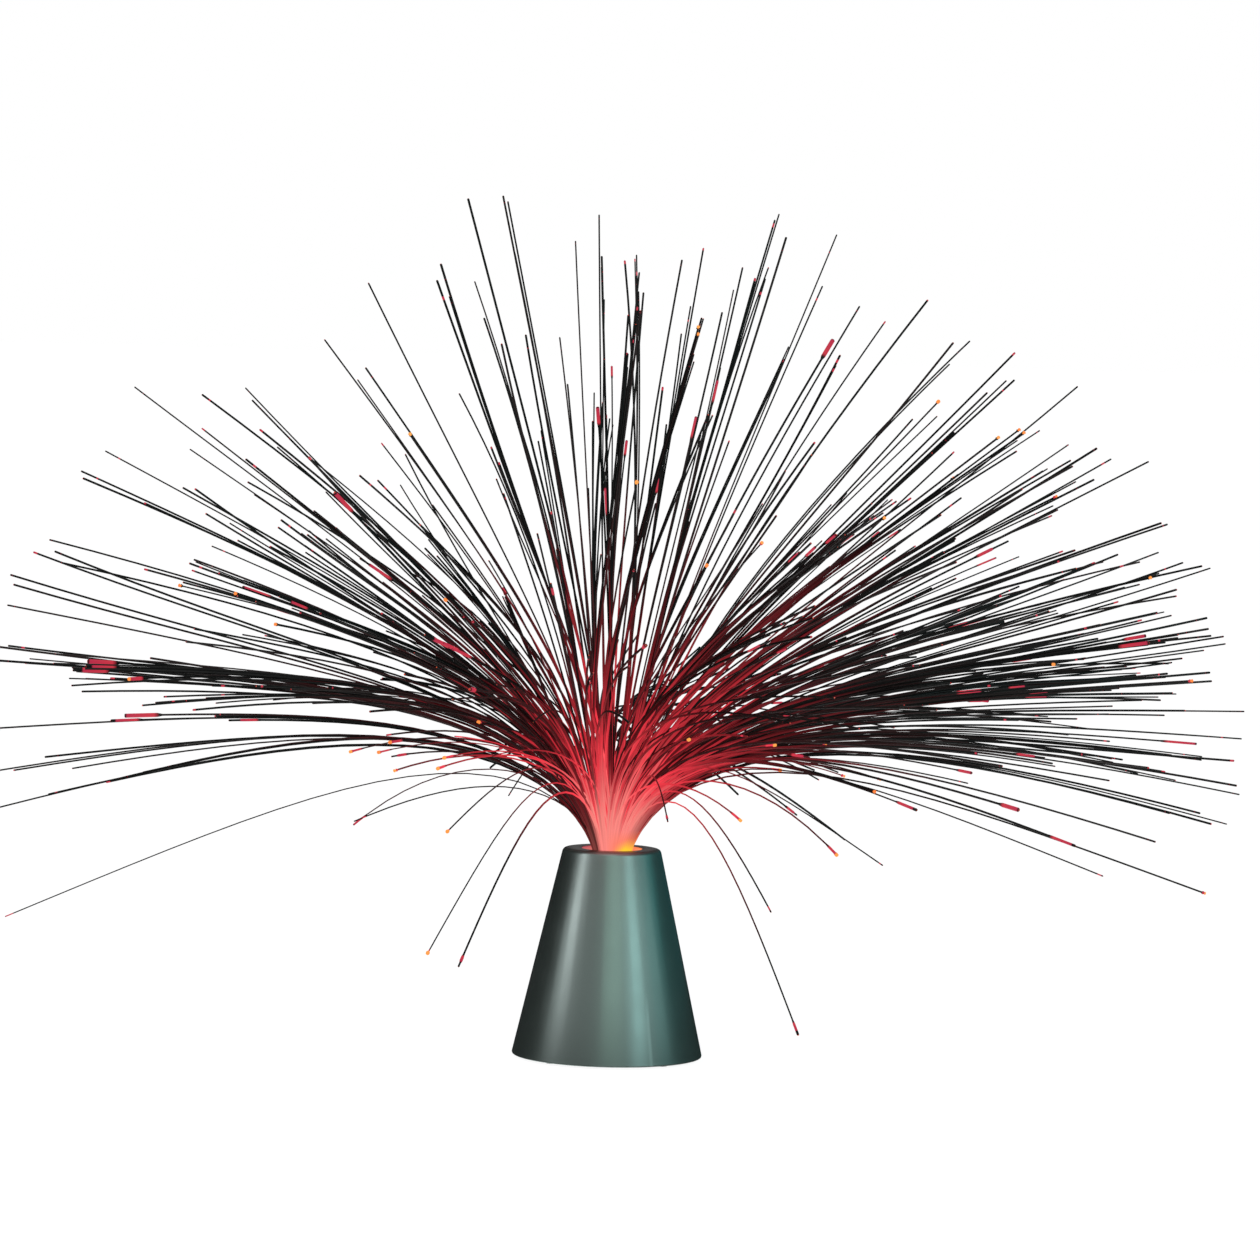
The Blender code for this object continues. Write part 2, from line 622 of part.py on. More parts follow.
def base_shell():
    shell = turned("base_shell", shell_profile(), "satin_silver", SHELL_SIDES, closed=True)
    added = []
    holes = []
    for index, azimuth in enumerate(BOSS_AZIMUTHS, 1):
        place = polar(BOSS_RING, azimuth)
        top = BOSS_BOTTOM_Z + BOSS_HEIGHT
        added.append(peg(f"boss_tool_{index}", place, BOSS_RADIUS, BOSS_BOTTOM_Z, top))
        added.append(boss_rib(index, azimuth))
        holes.append(peg(f"boss_hole_{index}", place, BASE_SCREW_RADIUS + SHAFT_GAP,
                         BOSS_BOTTOM_Z - CUT_OVERRUN, top - WALL))
    for index, azimuth in enumerate(POST_AZIMUTHS, 1):
        place = polar(POST_RING, azimuth)
        added.append(peg(f"post_tool_{index}", place, POST_RADIUS,
                         HOLDER_TOP_Z + GAP, BASE_TOP_Z - WALL + FUSE_DEPTH))
        holes.append(peg(f"post_hole_{index}", place, HOLDER_SCREW_RADIUS + SHAFT_GAP,
                         HOLDER_TOP_Z - CUT_OVERRUN, HOLDER_TOP_Z + HOLDER_SCREW_LENGTH))
    fuse(shell, *added)
    cut(shell, *holes)
    return shell


# Base plate


def base_plate():
    """The round plate with its battery tray, door seat, switch well and screw holes."""
    profile = cylinder_profile(PLATE_RADIUS, PLATE_BOTTOM_Z, PLATE_TOP_Z, PLATE_EDGE)
    plate = turned("base_plate", profile, "dark_plastic", PLATE_SIDES)
    tray_outside = rounded_rectangle(TRAY_HALF_LENGTH + TRAY_WALL, TRAY_HALF_WIDTH + TRAY_WALL,
                                     TRAY_ROUND + TRAY_WALL)
    screw_place = (DOOR_SCREW_X, 0)
    fuse(
        plate,
        slab("tray_tool", tray_outside, PLATE_TOP_Z - FUSE_DEPTH, TRAY_ROOF_Z),
        peg("door_boss_tool", screw_place, DOOR_BOSS_RADIUS,
            PLATE_TOP_Z - FUSE_DEPTH, PLATE_TOP_Z + DOOR_BOSS_HEIGHT),
    )
    tray_inside = rounded_rectangle(TRAY_HALF_LENGTH, TRAY_HALF_WIDTH, TRAY_ROUND)
    cut(
        plate,
        slab("tray_cutter", tray_inside, DOOR_SEAT_Z - FUSE_DEPTH, TRAY_CEILING_Z),
        slab("door_seat_cutter", door_outline(GAP), PLATE_BOTTOM_Z - CUT_OVERRUN, DOOR_SEAT_Z),
        peg("door_screw_hole", screw_place, DOOR_SCREW_RADIUS + CAPTIVE_GAP,
            DOOR_TOP_Z, DOOR_TOP_Z + DOOR_SCREW_LENGTH),
        *hinge_notches(),
        *base_screw_holes(),
        *foot_pockets(),
        *switch_openings(),
        *tab_slots(),
    )
    return plate


def hinge_notches():
    notches = []
    for name, side in (("front", -1), ("back", 1)):
        reach = HINGE_TAB_HALF_WIDTH + GAP
        low = (HINGE_X - NOTCH_DEPTH, side * HINGE_TAB_Y - reach, PLATE_BOTTOM_Z - CUT_OVERRUN)
        high = (-DOOR_HALF_LENGTH, side * HINGE_TAB_Y + reach, DOOR_TOP_Z + GAP / 2)
        notches.append(block(f"hinge_notch_{name}", low, high))
    return notches


def base_screw_holes():
    holes = []
    for index, azimuth in enumerate(BOSS_AZIMUTHS, 1):
        place = polar(BOSS_RING, azimuth)
        seat = PLATE_BOTTOM_Z + BASE_SCREW_HEAD_HEIGHT + GAP
        holes.append(peg(f"base_screw_head_hole_{index}", place, BASE_SCREW_HEAD_RADIUS + GAP,
                         PLATE_BOTTOM_Z - CUT_OVERRUN, seat))
        holes.append(peg(f"base_screw_hole_{index}", place, BASE_SCREW_RADIUS + SHAFT_GAP,
                         seat - FUSE_DEPTH, PLATE_TOP_Z + CUT_OVERRUN))
    return holes


def foot_pockets():
    return [
        peg(f"foot_pocket_{index}", polar(FOOT_RING, azimuth), FOOT_RADIUS + GAP,
            PLATE_BOTTOM_Z - CUT_OVERRUN, PLATE_BOTTOM_Z + FOOT_POCKET_DEPTH)
        for index, azimuth in enumerate(FOOT_AZIMUTHS, 1)
    ]


def switch_openings():
    """The slot that the slider runs in, the well round it and the holes of the switch screws."""
    well = rounded_rectangle(SLOT_HALF_LENGTH + FINGER_WELL_MARGIN, SLOT_HALF_WIDTH + FINGER_WELL_MARGIN,
                             FINGER_WELL_ROUND, (0, SWITCH_Y))
    well_top = PLATE_BOTTOM_Z + FINGER_WELL_DEPTH
    openings = [
        slab("finger_well_cutter", well, PLATE_BOTTOM_Z - CUT_OVERRUN, well_top),
        block("slider_slot_cutter", (-SLOT_HALF_LENGTH, SWITCH_Y - SLOT_HALF_WIDTH, well_top - FUSE_DEPTH),
              (SLOT_HALF_LENGTH, SWITCH_Y + SLOT_HALF_WIDTH, PLATE_TOP_Z + CUT_OVERRUN)),
    ]
    bottom = PLATE_TOP_Z + SWITCH_EAR_THICKNESS - SWITCH_SCREW_LENGTH
    for name, side in (("left", -1), ("right", 1)):
        openings.append(peg(f"switch_screw_hole_{name}", (side * SWITCH_SCREW_X, SWITCH_Y),
                            SWITCH_SCREW_RADIUS + SHAFT_GAP, bottom, PLATE_TOP_Z + CUT_OVERRUN))
    return openings


def tab_slots():
    """Slots in the tray's roof for the two contact tabs that the leads are soldered to."""
    reach_x = CONTACT_THICKNESS / 2 + GAP / 2
    reach_y = TAB_HALF_WIDTH + GAP
    slots = []
    for name, x, y in (("positive", TAB_X, -CELL_PITCH), ("negative", -TAB_X, CELL_PITCH)):
        slots.append(block(f"tab_slot_{name}", (x - reach_x, y - reach_y, TRAY_CEILING_Z - GAP),
                           (x + reach_x, y + reach_y, TRAY_ROOF_Z + CUT_OVERRUN)))
    return slots


# Battery door and its screw


def door_outline(margin=0, hinge_step=0):
    """Outline of the door with its screw's ear, or of its seat with a margin round it.

    The door is cut back by a step along the hinge, where its edge swings past the rim of the seat.
    """
    length = DOOR_HALF_LENGTH + margin
    width = DOOR_HALF_WIDTH + margin
    corner = DOOR_ROUND + margin
    ear = EAR_HALF_WIDTH + margin
    ear_tip = arc(DOOR_SCREW_X, 0, ear, -FULL_TURN / 4, FULL_TURN / 4, 2 * ARC_POINTS + 1)
    leaf = rounded_rectangle(length - hinge_step / 2, width, corner, (hinge_step / 2, 0))
    return [*ear_tip, (length, ear), *leaf, (length, -ear)]


def hinge_tab(name, side):
    """A round-ended tab that turns on the hinge line, a little thinner than the door."""
    radius = DOOR_THICKNESS / 2 - HINGE_TAB_STEP
    round_end = arc(HINGE_X, HINGE_Z, radius, FULL_TURN / 4, 3 * FULL_TURN / 4, 2 * ARC_POINTS + 1)
    inside = -DOOR_HALF_LENGTH + HINGE_EDGE_STEP + FUSE_DEPTH
    outline = [(inside, HINGE_Z + radius), *round_end, (inside, HINGE_Z - radius)]
    middle = side * HINGE_TAB_Y
    return extruded(f"hinge_tab_tool_{name}", outline,
                    middle - HINGE_TAB_HALF_WIDTH, middle + HINGE_TAB_HALF_WIDTH)


def battery_door():
    outline = door_outline(hinge_step=HINGE_EDGE_STEP)
    door = slab("battery_door", outline, PLATE_BOTTOM_Z, DOOR_TOP_Z, "dark_plastic")
    fuse(door, hinge_tab("front", -1), hinge_tab("back", 1))
    place = (DOOR_SCREW_X, 0)
    seat = PLATE_BOTTOM_Z + DOOR_SCREW_HEAD_HEIGHT + GAP
    grooves = []
    for index in range(GRIP_GROOVE_COUNT):
        x = DOOR_HALF_LENGTH - GRIP_GROOVE_SETBACK - index * GRIP_GROOVE_PITCH
        half = GRIP_GROOVE_PITCH / 4
        grooves.append(block(f"grip_groove_{index + 1}",
                             (x - half, -GRIP_GROOVE_HALF_WIDTH, PLATE_BOTTOM_Z - CUT_OVERRUN),
                             (x + half, GRIP_GROOVE_HALF_WIDTH, PLATE_BOTTOM_Z + GRIP_GROOVE_DEPTH)))
    cut(
        door,
        peg("door_screw_head_hole", place, DOOR_SCREW_HEAD_RADIUS + GAP, PLATE_BOTTOM_Z - CUT_OVERRUN, seat),
        peg("door_screw_shank_hole", place, DOOR_SCREW_RADIUS + SHAFT_GAP,
            seat - FUSE_DEPTH, DOOR_TOP_Z + CUT_OVERRUN),
        *grooves,
    )
    return door


# Battery cells, springs and contacts


def lane_y(index):
    return (index - (CELL_COUNT - 1) / 2) * CELL_PITCH


def lane_direction(index):
    """+1 where the cell's button points to +X. Every second cell is turned round."""
    return 1 if index % 2 == 0 else -1


def battery_cell(index):
    """One cell lying in its lane, with its button on the side of the plain contact."""
    can = CELL_LENGTH - CELL_BUTTON_HEIGHT
    profile = [
        (0, CELL_LENGTH), (CELL_BUTTON_RADIUS, CELL_LENGTH), (CELL_BUTTON_RADIUS, can),
        (CELL_RADIUS - CELL_EDGE, can), (CELL_RADIUS, can - CELL_EDGE),
        (CELL_RADIUS, CELL_EDGE), (CELL_RADIUS - CELL_EDGE, 0), (0, 0),
    ]
    cell = turned(f"battery_cell_{index + 1}", profile, "cell_jacket", CELL_SIDES)
    direction = lane_direction(index)
    tip = TRAY_HALF_LENGTH - 2 * GAP - CONTACT_THICKNESS - DIMPLE_HEIGHT
    cell.rotation_euler = (0, direction * FULL_TURN / 4, 0)
    cell.location = (direction * (tip - CELL_LENGTH), lane_y(index), CELL_Z)
    return cell


def battery_spring(index):
    """The conical spring behind a cell, one unbroken wire."""
    direction = lane_direction(index)
    cell_end = TRAY_HALF_LENGTH - 2 * GAP - CONTACT_THICKNESS - DIMPLE_HEIGHT - CELL_LENGTH
    start = -cell_end + GAP + SPRING_WIRE_RADIUS
    reach = SPRING_LENGTH - GAP - 2 * SPRING_WIRE_RADIUS
    steps = SPRING_TURN_COUNT * SPRING_POINT_COUNT
    points = []
    for i in range(steps + 1):
        share = i / steps
        radius = SPRING_SMALL_RADIUS + (SPRING_BIG_RADIUS - SPRING_SMALL_RADIUS) * share
        turn = FULL_TURN * SPRING_TURN_COUNT * share
        points.append((
            -direction * (start + reach * share),
            lane_y(index) + radius * math.cos(turn),
            CELL_Z + radius * math.sin(turn),
        ))
    return tube(f"battery_spring_{index + 1}", points, SPRING_WIRE_RADIUS, "nickel_contact", 1)


def contact_plate(name, side, lanes, dimpled, tab_lane=None):
    """A flat contact at one end of the tray, across one or two lanes."""
    outer = side * (TRAY_HALF_LENGTH - GAP)
    inner = side * (TRAY_HALF_LENGTH - GAP - CONTACT_THICKNESS)
    low_y = lane_y(min(lanes)) - CONTACT_HALF_WIDTH
    high_y = lane_y(max(lanes)) + CONTACT_HALF_WIDTH
    low = (min(inner, outer), low_y, CELL_Z - CONTACT_HALF_WIDTH)
    high = (max(inner, outer), high_y, CELL_Z + CONTACT_HALF_WIDTH)
    plate = block(name, low, high, "nickel_contact")
    added = []
    for lane in dimpled:
        profile = cylinder_profile(DIMPLE_RADIUS, -CONTACT_THICKNESS / 2, DIMPLE_HEIGHT)
        dimple = turned(f"{name}_dimple_tool", profile, sides=SCREW_SIDES)
        dimple.rotation_euler = (0, -side * FULL_TURN / 4, 0)
        dimple.location = (inner, lane_y(lane), CELL_Z)
        added.append(dimple)
    if tab_lane is not None:
        y = lane_y(tab_lane)
        inset = CONTACT_THICKNESS * TAB_INSET_SHARE
        added.append(block(f"{name}_tab_tool", (low[0] + inset, y - TAB_HALF_WIDTH, CELL_Z),
                           (high[0] - inset, y + TAB_HALF_WIDTH, TAB_TOP_Z)))
    if added:
        fuse(plate, *added)
    return plate


def contacts():
    contact_plate("contact_positive", 1, (0,), (0,), tab_lane=0)
    contact_plate("contact_bridge_right", 1, (1, 2), (2,))
    contact_plate("contact_bridge_left", -1, (0, 1), (1,))
    contact_plate("contact_negative", -1, (2,), (), tab_lane=2)


# Slide switch


def switch_body():
    """The switch's housing with its two ears, open below for the slider."""
    bottom = SWITCH_BOTTOM_Z
    body = block("switch_body", (-SWITCH_HALF_LENGTH, SWITCH_Y - SWITCH_HALF_WIDTH, bottom),
                 (SWITCH_HALF_LENGTH, SWITCH_Y + SWITCH_HALF_WIDTH, bottom + SWITCH_HEIGHT), "zinc_steel")
    reach = SWITCH_HALF_LENGTH + SWITCH_EAR_LENGTH
    ears = rounded_rectangle(reach, SWITCH_HALF_WIDTH - GAP, SWITCH_HALF_WIDTH / 2, (0, SWITCH_Y))
    fuse(body, slab("switch_ear_tool", ears, bottom + SWITCH_EAR_STEP, bottom + SWITCH_EAR_THICKNESS))
    holes = [block("switch_cavity_cutter",
                   (-SLOT_HALF_LENGTH, SWITCH_Y - SLOT_HALF_WIDTH, bottom - CUT_OVERRUN),
                   (SLOT_HALF_LENGTH, SWITCH_Y + SLOT_HALF_WIDTH, SLIDER_TOP_Z + SLOT_GAP))]
    for name, side in (("left", -1), ("right", 1)):
        place = (side * SWITCH_SCREW_X, SWITCH_Y)
        holes.append(peg(f"ear_hole_{name}", place, SWITCH_SCREW_RADIUS + SHAFT_GAP,
                         bottom - CUT_OVERRUN, bottom + SWITCH_EAR_THICKNESS + CUT_OVERRUN))
    cut(body, *holes)
    return body


def switch_slider():
    """The knob, drawn in its ON place at the left end of its slot."""
    rest_x = -SWITCH_TRAVEL / 2
    rib_top = SLIDER_BOTTOM_Z + SLIDER_RIB_DEPTH
    slider = block("switch_slider", (-SLIDER_HALF_LENGTH, -SLIDER_HALF_WIDTH, rib_top),
                   (SLIDER_HALF_LENGTH, SLIDER_HALF_WIDTH, SLIDER_TOP_Z), "white_plastic")
    slider.location = (rest_x, SWITCH_Y, 0)
    pitch = 2 * SLIDER_HALF_LENGTH / SLIDER_RIB_COUNT
    half_width = SLIDER_HALF_WIDTH - SLIDER_RIB_DEPTH / 2
    ribs = []
    for index in range(SLIDER_RIB_COUNT):
        middle = (index - (SLIDER_RIB_COUNT - 1) / 2) * pitch
        rib = block(f"slider_rib_tool_{index + 1}", (middle - pitch / 4, -half_width, SLIDER_BOTTOM_Z),
                    (middle + pitch / 4, half_width, rib_top + SLIDER_RIB_DEPTH))
        rib.location = slider.location
        ribs.append(rib)
    fuse(slider, *ribs)
    return slider


def switch_screws():
    """The two screws that come down through the ears, head up."""
    seat = SWITCH_BOTTOM_Z + SWITCH_EAR_THICKNESS + GAP
    edge = SWITCH_SCREW_HEAD_HEIGHT * SCREW_EDGE_SHARE
    tip = seat - SWITCH_SCREW_LENGTH + GAP
    top = seat + SWITCH_SCREW_HEAD_HEIGHT
    profile = [
        (0, top), (SWITCH_SCREW_HEAD_RADIUS - edge, top), (SWITCH_SCREW_HEAD_RADIUS, top - edge),
        (SWITCH_SCREW_HEAD_RADIUS, seat), (SWITCH_SCREW_RADIUS, seat), (SWITCH_SCREW_RADIUS, tip), (0, tip),
    ]
    for name, side in (("left", -1), ("right", 1)):
        place = (side * SWITCH_SCREW_X, SWITCH_Y)
        turned(f"switch_screw_{name}", profile, "zinc_steel", SCREW_SIDES, place)


# Light holder, board and LEDs


def light_holder():
    """A flange with a sleeve that grips the ferrule above and a skirt round the LEDs below."""
    profile = [
        (SLEEVE_RADIUS, SLEEVE_TOP_Z), (SLEEVE_RADIUS, HOLDER_TOP_Z), (HOLDER_RADIUS, HOLDER_TOP_Z),
        (HOLDER_RADIUS, HOLDER_BOTTOM_Z), (SLEEVE_RADIUS, HOLDER_BOTTOM_Z), (SLEEVE_RADIUS, SKIRT_BOTTOM_Z),
        (SKIRT_BORE, SKIRT_BOTTOM_Z), (SKIRT_BORE, HOLDER_BOTTOM_Z - WALL),
        (SLEEVE_BORE, HOLDER_BOTTOM_Z - WALL / 2), (SLEEVE_BORE, SLEEVE_TOP_Z),
    ]
    holder = turned("light_holder", profile, "white_plastic", RING_SIDES, closed=True)
    bosses = []
    holes = []
    for index, azimuth in enumerate(BOARD_AZIMUTHS, 1):
        place = polar(BOARD_BOSS_RING, azimuth)
        bosses.append(peg(f"board_boss_tool_{index}", place, BOARD_BOSS_RADIUS,
                          SKIRT_BOTTOM_Z + GAP, HOLDER_BOTTOM_Z + FUSE_DEPTH))
        holes.append(peg(f"board_boss_hole_{index}", place, BOARD_SCREW_RADIUS + SHAFT_GAP,
                         SKIRT_BOTTOM_Z - CUT_OVERRUN, SKIRT_BOTTOM_Z + BOARD_SCREW_LENGTH))
    for index, azimuth in enumerate(POST_AZIMUTHS, 1):
        holes.append(peg(f"holder_screw_hole_{index}", polar(POST_RING, azimuth),
                         HOLDER_SCREW_RADIUS + SHAFT_GAP,
                         HOLDER_BOTTOM_Z - CUT_OVERRUN, HOLDER_TOP_Z + CUT_OVERRUN))
    fuse(holder, *bosses)
    cut(holder, *holes)
    return holder


def holder_screws():
    bottom = HOLDER_BOTTOM_Z - GAP - HOLDER_SCREW_HEAD_HEIGHT
    for index, azimuth in enumerate(POST_AZIMUTHS, 1):
        screw(f"holder_screw_{index}", polar(POST_RING, azimuth), bottom, HOLDER_SCREW_HEAD_RADIUS,
              HOLDER_SCREW_HEAD_HEIGHT, HOLDER_SCREW_RADIUS, HOLDER_SCREW_LENGTH)


def led_board():
    board = turned("led_board", cylinder_profile(BOARD_RADIUS, BOARD_BOTTOM_Z, BOARD_TOP_Z), "board_green")
    screw_bottom = BOARD_BOTTOM_Z - GAP - BOARD_SCREW_HEAD_HEIGHT
    holes = []
    for index, azimuth in enumerate(BOARD_AZIMUTHS, 1):
        place = polar(BOARD_BOSS_RING, azimuth)
        holes.append(peg(f"board_hole_{index}", place, BOARD_SCREW_RADIUS + SHAFT_GAP,
                         BOARD_BOTTOM_Z - CUT_OVERRUN, BOARD_TOP_Z + CUT_OVERRUN))
        screw(f"board_screw_{index}", place, screw_bottom, BOARD_SCREW_HEAD_RADIUS,
              BOARD_SCREW_HEAD_HEIGHT, BOARD_SCREW_RADIUS, BOARD_SCREW_LENGTH)
    cut(board, *holes)
    return board


def leds():
    """Three round LEDs that shine up into the foot of the bundle."""
    bottom = BOARD_TOP_Z + GAP
    dome_z = bottom + LED_HEIGHT - LED_RADIUS
    profile = [
        *arc(0, dome_z, LED_RADIUS, FULL_TURN / 4, 0),
        (LED_RADIUS, bottom + LED_FLANGE_HEIGHT), (LED_FLANGE_RADIUS, bottom + LED_FLANGE_HEIGHT),
        (LED_FLANGE_RADIUS, bottom), (0, bottom),
    ]
    profile[0] = (0, dome_z + LED_RADIUS)
    for index, azimuth in enumerate(LED_AZIMUTHS, 1):
        turned(f"led_{index}", profile, "clear_epoxy", LED_SIDES, polar(LED_RING, azimuth))


def driver_chip():
    """The chip that runs the colour change, under the board."""
    top = BOARD_BOTTOM_Z - GAP
    low = (CHIP_X - CHIP_LENGTH / 2, CHIP_Y - CHIP_WIDTH / 2, top - CHIP_HEIGHT)
    high = (CHIP_X + CHIP_LENGTH / 2, CHIP_Y + CHIP_WIDTH / 2, top)
    return block("driver_chip", low, high, "dark_plastic")


# Ferrule and collar


def fibre_ferrule():
    """The tube round the potted bundle, flush with its top."""
    profile = [
        (FERRULE_RADIUS, ROOT_TOP_Z), (FERRULE_RADIUS, FERRULE_BOTTOM_Z),
        (FERRULE_BORE, FERRULE_BOTTOM_Z), (FERRULE_BORE, ROOT_TOP_Z),
    ]
    return turned("fibre_ferrule", profile, "dark_plastic", closed=True)


def glow_collar():
    """The clear collar round the ferrule in the mouth, with a dished top and a flange below the lip."""
    rim = COLLAR_RADIUS - COLLAR_RIM
    profile = [
        (COLLAR_RADIUS, COLLAR_TOP_Z), (COLLAR_RADIUS, FLANGE_TOP_Z), (FLANGE_RADIUS, FLANGE_TOP_Z),
        (FLANGE_RADIUS, FLANGE_BOTTOM_Z), (COLLAR_BORE, FLANGE_BOTTOM_Z),
        (COLLAR_BORE, COLLAR_TOP_Z - COLLAR_DISH), (rim, COLLAR_TOP_Z - COLLAR_DISH), (rim, COLLAR_TOP_Z),
    ]
    return turned("glow_collar", profile, "frosted_red", closed=True)


# Fibre spray


def ring_places(inner, outer, azimuth, width):
    """Root places of one bunch, each as radius, azimuth and its share across and round the bunch."""
    places = []
    last_row = len(ROW_COUNTS) - 1
    for row, count in enumerate(ROW_COUNTS):
        radius = inner + CELL_MARGIN + row / last_row * (outer - inner - 2 * CELL_MARGIN)
        half = width / 2 - CELL_MARGIN / radius
        for column in range(count):
            turn = half * (2 * column / (count - 1) - 1)
            across = (row - last_row / 2) / (last_row + 1)
            places.append((radius, azimuth + turn, across, (column - (count - 1) / 2) / count))
    return places


def fibre_route(place, lean, azimuth, lean_span, width, length):
    """Points every 2 mm or so along a fibre, which bends out of the bundle and droops with its own weight."""
    radius, start_azimuth, across, around = place
    point = Vector((radius * math.cos(start_azimuth), radius * math.sin(start_azimuth), ROOT_TOP_Z))
    start_lean = START_LEAN_DEGREES * radius / BUNDLE_RADIUS
    count = round(length / ROUTE_STEP)
    step = length / count
    points = [point.copy()]
    for i in range(count):
        along = (i + 0.5) * step
        spread = NEAR_SHARE + (FAR_SHARE - NEAR_SHARE) * along / LONGEST_FIBRE
        far_lean = lean + across * lean_span * spread
        far_azimuth = azimuth + around * width * spread
        bent = 1 - math.exp(-along / BEND_LENGTH)
        droop = DROOP_DEGREES * math.sin(math.radians(far_lean)) * (1 - (1 - along / LONGEST_FIBRE) ** 3)
        now_lean = math.radians(start_lean + (far_lean - start_lean + droop) * bent)
        now_azimuth = start_azimuth + (far_azimuth - start_azimuth) * bent
        flat = math.sin(now_lean)
        heading = (flat * math.cos(now_azimuth), flat * math.sin(now_azimuth), math.cos(now_lean))
        point += step * Vector(heading)
        points.append(point.copy())
    return points


def spray():
    """Every bunch as its slice of the bundle and its fibres' routes, in the same order each time."""
    chance = random.Random(SPRAY_SEED)
    bunches = []

    def routes(places, lean, azimuth, lean_span, width):
        found = []
        for radius, start, across, around in places:
            across += chance.uniform(-JITTER_SHARE, JITTER_SHARE)
            around += chance.uniform(-JITTER_SHARE, JITTER_SHARE)
            shortening = (1 - SHORTEST_SHARE) * chance.random() ** SHORTNESS_POWER
            place = (radius, start, across, around)
            own_azimuth = start if azimuth is None else azimuth
            length = LONGEST_FIBRE * (1 - shortening)
            found.append(fibre_route(place, lean, own_azimuth, lean_span, width, length))
        return found

    centre = []
    upright = zip(UPRIGHT_RING_SHARES, UPRIGHT_RING_COUNTS, UPRIGHT_RING_DEGREES)
    for ring, (share, count, lean) in enumerate(upright):
        turns = [(i + ring / 2) * FULL_TURN / count for i in range(count)]
        places = [(share * CENTRE_RADIUS, turn, 0, 0) for turn in turns]
        centre += routes(places, lean, None, 0, 0)
    bunches.append(("fibre_bunch_centre", (0, CENTRE_RADIUS, 0, FULL_TURN), centre))
    rings = (
        ("inner", INNER_BUNCHES, CENTRE_RADIUS, MIDDLE_RADIUS),
        ("outer", OUTER_BUNCHES, MIDDLE_RADIUS, BUNDLE_RADIUS),
    )
    for ring, table, inner, outer in rings:
        width = FULL_TURN / len(table)
        for index, (lean, azimuth) in enumerate(table):
            places = ring_places(inner, outer, index * width, width)
            found = routes(places, lean, math.radians(azimuth), LEAN_SPAN_DEGREES, width)
            name = f"fibre_bunch_{ring}_{index + 1:02d}"
            bunches.append((name, (inner, outer, index * width, width), found))
    return bunches


def slice_outline(inner, outer, azimuth, width):
    """Outline of one bunch's slice of the potted bundle, half a gap inside its share of it."""
    inset = GAP / 2
    if not inner:
        return [polar(outer - inset, 360 * i / SCREW_SIDES) for i in range(SCREW_SIDES)]
    edge = outer if outer == BUNDLE_RADIUS else outer - inset
    points = []
    for radius, sign in ((inner + inset, 1), (edge, -1)):
        half = width / 2 - inset / radius
        turns = [azimuth - sign * half + sign * 2 * half * i / (ARC_POINTS - 1) for i in range(ARC_POINTS)]
        points += [(radius * math.cos(t), radius * math.sin(t)) for t in turns]
    return points[::-1]


def sampled(route, distances):
    """The places at these distances along a route, between its sunk root and its end."""
    places = [route[0] - FIBRE_SUNK * UP]
    places += [route[round(distance / ROUTE_STEP)] for distance in distances]
    places.append(route[-1])
    return places


def add_fibre(shape, points):
    """Adds one fibre of flat facets along its points to a mesh, thin at the root and full size beyond it."""
    rings = []
    side = Vector((-points[0].y, points[0].x, 0)).normalized()
    walked = 0
    # The first corner faces the bundle's axis at the root, so that none reaches past the edge of its slice.
    turns = [QUARTER_TURN + FULL_TURN * k / FIBRE_SIDES for k in range(FIBRE_SIDES)]
    for i, point in enumerate(points):
        before = points[max(i - 1, 0)]
        after = points[min(i + 1, len(points) - 1)]
        walked += (point - before).length
        # The first two rings lie level, so that the facets between them are flat where they meet the slice.
        along = UP if i < 2 else (after - before).normalized()
        side = (side - along * side.dot(along)).normalized()
        other = along.cross(side)
        swell = min(1, max(0, walked - FIBRE_SUNK) / FIBRE_SWELL_LENGTH)
        size = FIBRE_ROOT_SIZE + (FIBRE_SIZE - FIBRE_ROOT_SIZE) * swell
        ring = [point + size * (math.cos(turn) * side + math.sin(turn) * other) for turn in turns]
        rings.append([shape.verts.new(place) for place in ring])
    for low, high in zip(rings, rings[1:]):
        for k in range(FIBRE_SIDES):
            after = (k + 1) % FIBRE_SIDES
            shape.faces.new((low[k], low[after], high[after], high[k]))
    shape.faces.new(rings[0][::-1])
    shape.faces.new(rings[-1])


def fibre_bunch(name, sector, routes):
    """One slice of the potted bundle with the fibres that stand in it."""
    bunch = slab(name, slice_outline(*sector), ROOT_BOTTOM_Z, ROOT_TOP_Z, "fibre_black")
    sections = OUTER_SECTIONS if sector[1] == BUNDLE_RADIUS else INNER_SECTIONS
    mesh = bpy.data.meshes.new(f"{name}_tool")
    shape = bmesh.new()
    for route in routes:
        add_fibre(shape, sampled(route, sections))
    shape.to_mesh(mesh)
    shape.free()
    fuse(bunch, linked(f"{name}_tool", mesh, None))
    return bunch


# Small parts in rows


def feet():
    for index, azimuth in enumerate(FOOT_AZIMUTHS, 1):
        top = PLATE_BOTTOM_Z + FOOT_POCKET_DEPTH - GAP
        turned(f"foot_{index}", cylinder_profile(FOOT_RADIUS, 0, top, FOOT_EDGE), "black_rubber",
               CELL_SIDES, polar(FOOT_RING, azimuth))


def base_screws():
    for index, azimuth in enumerate(BOSS_AZIMUTHS, 1):
        screw(f"base_screw_{index}", polar(BOSS_RING, azimuth), PLATE_BOTTOM_Z, BASE_SCREW_HEAD_RADIUS,
              BASE_SCREW_HEAD_HEIGHT, BASE_SCREW_RADIUS, BASE_SCREW_LENGTH)


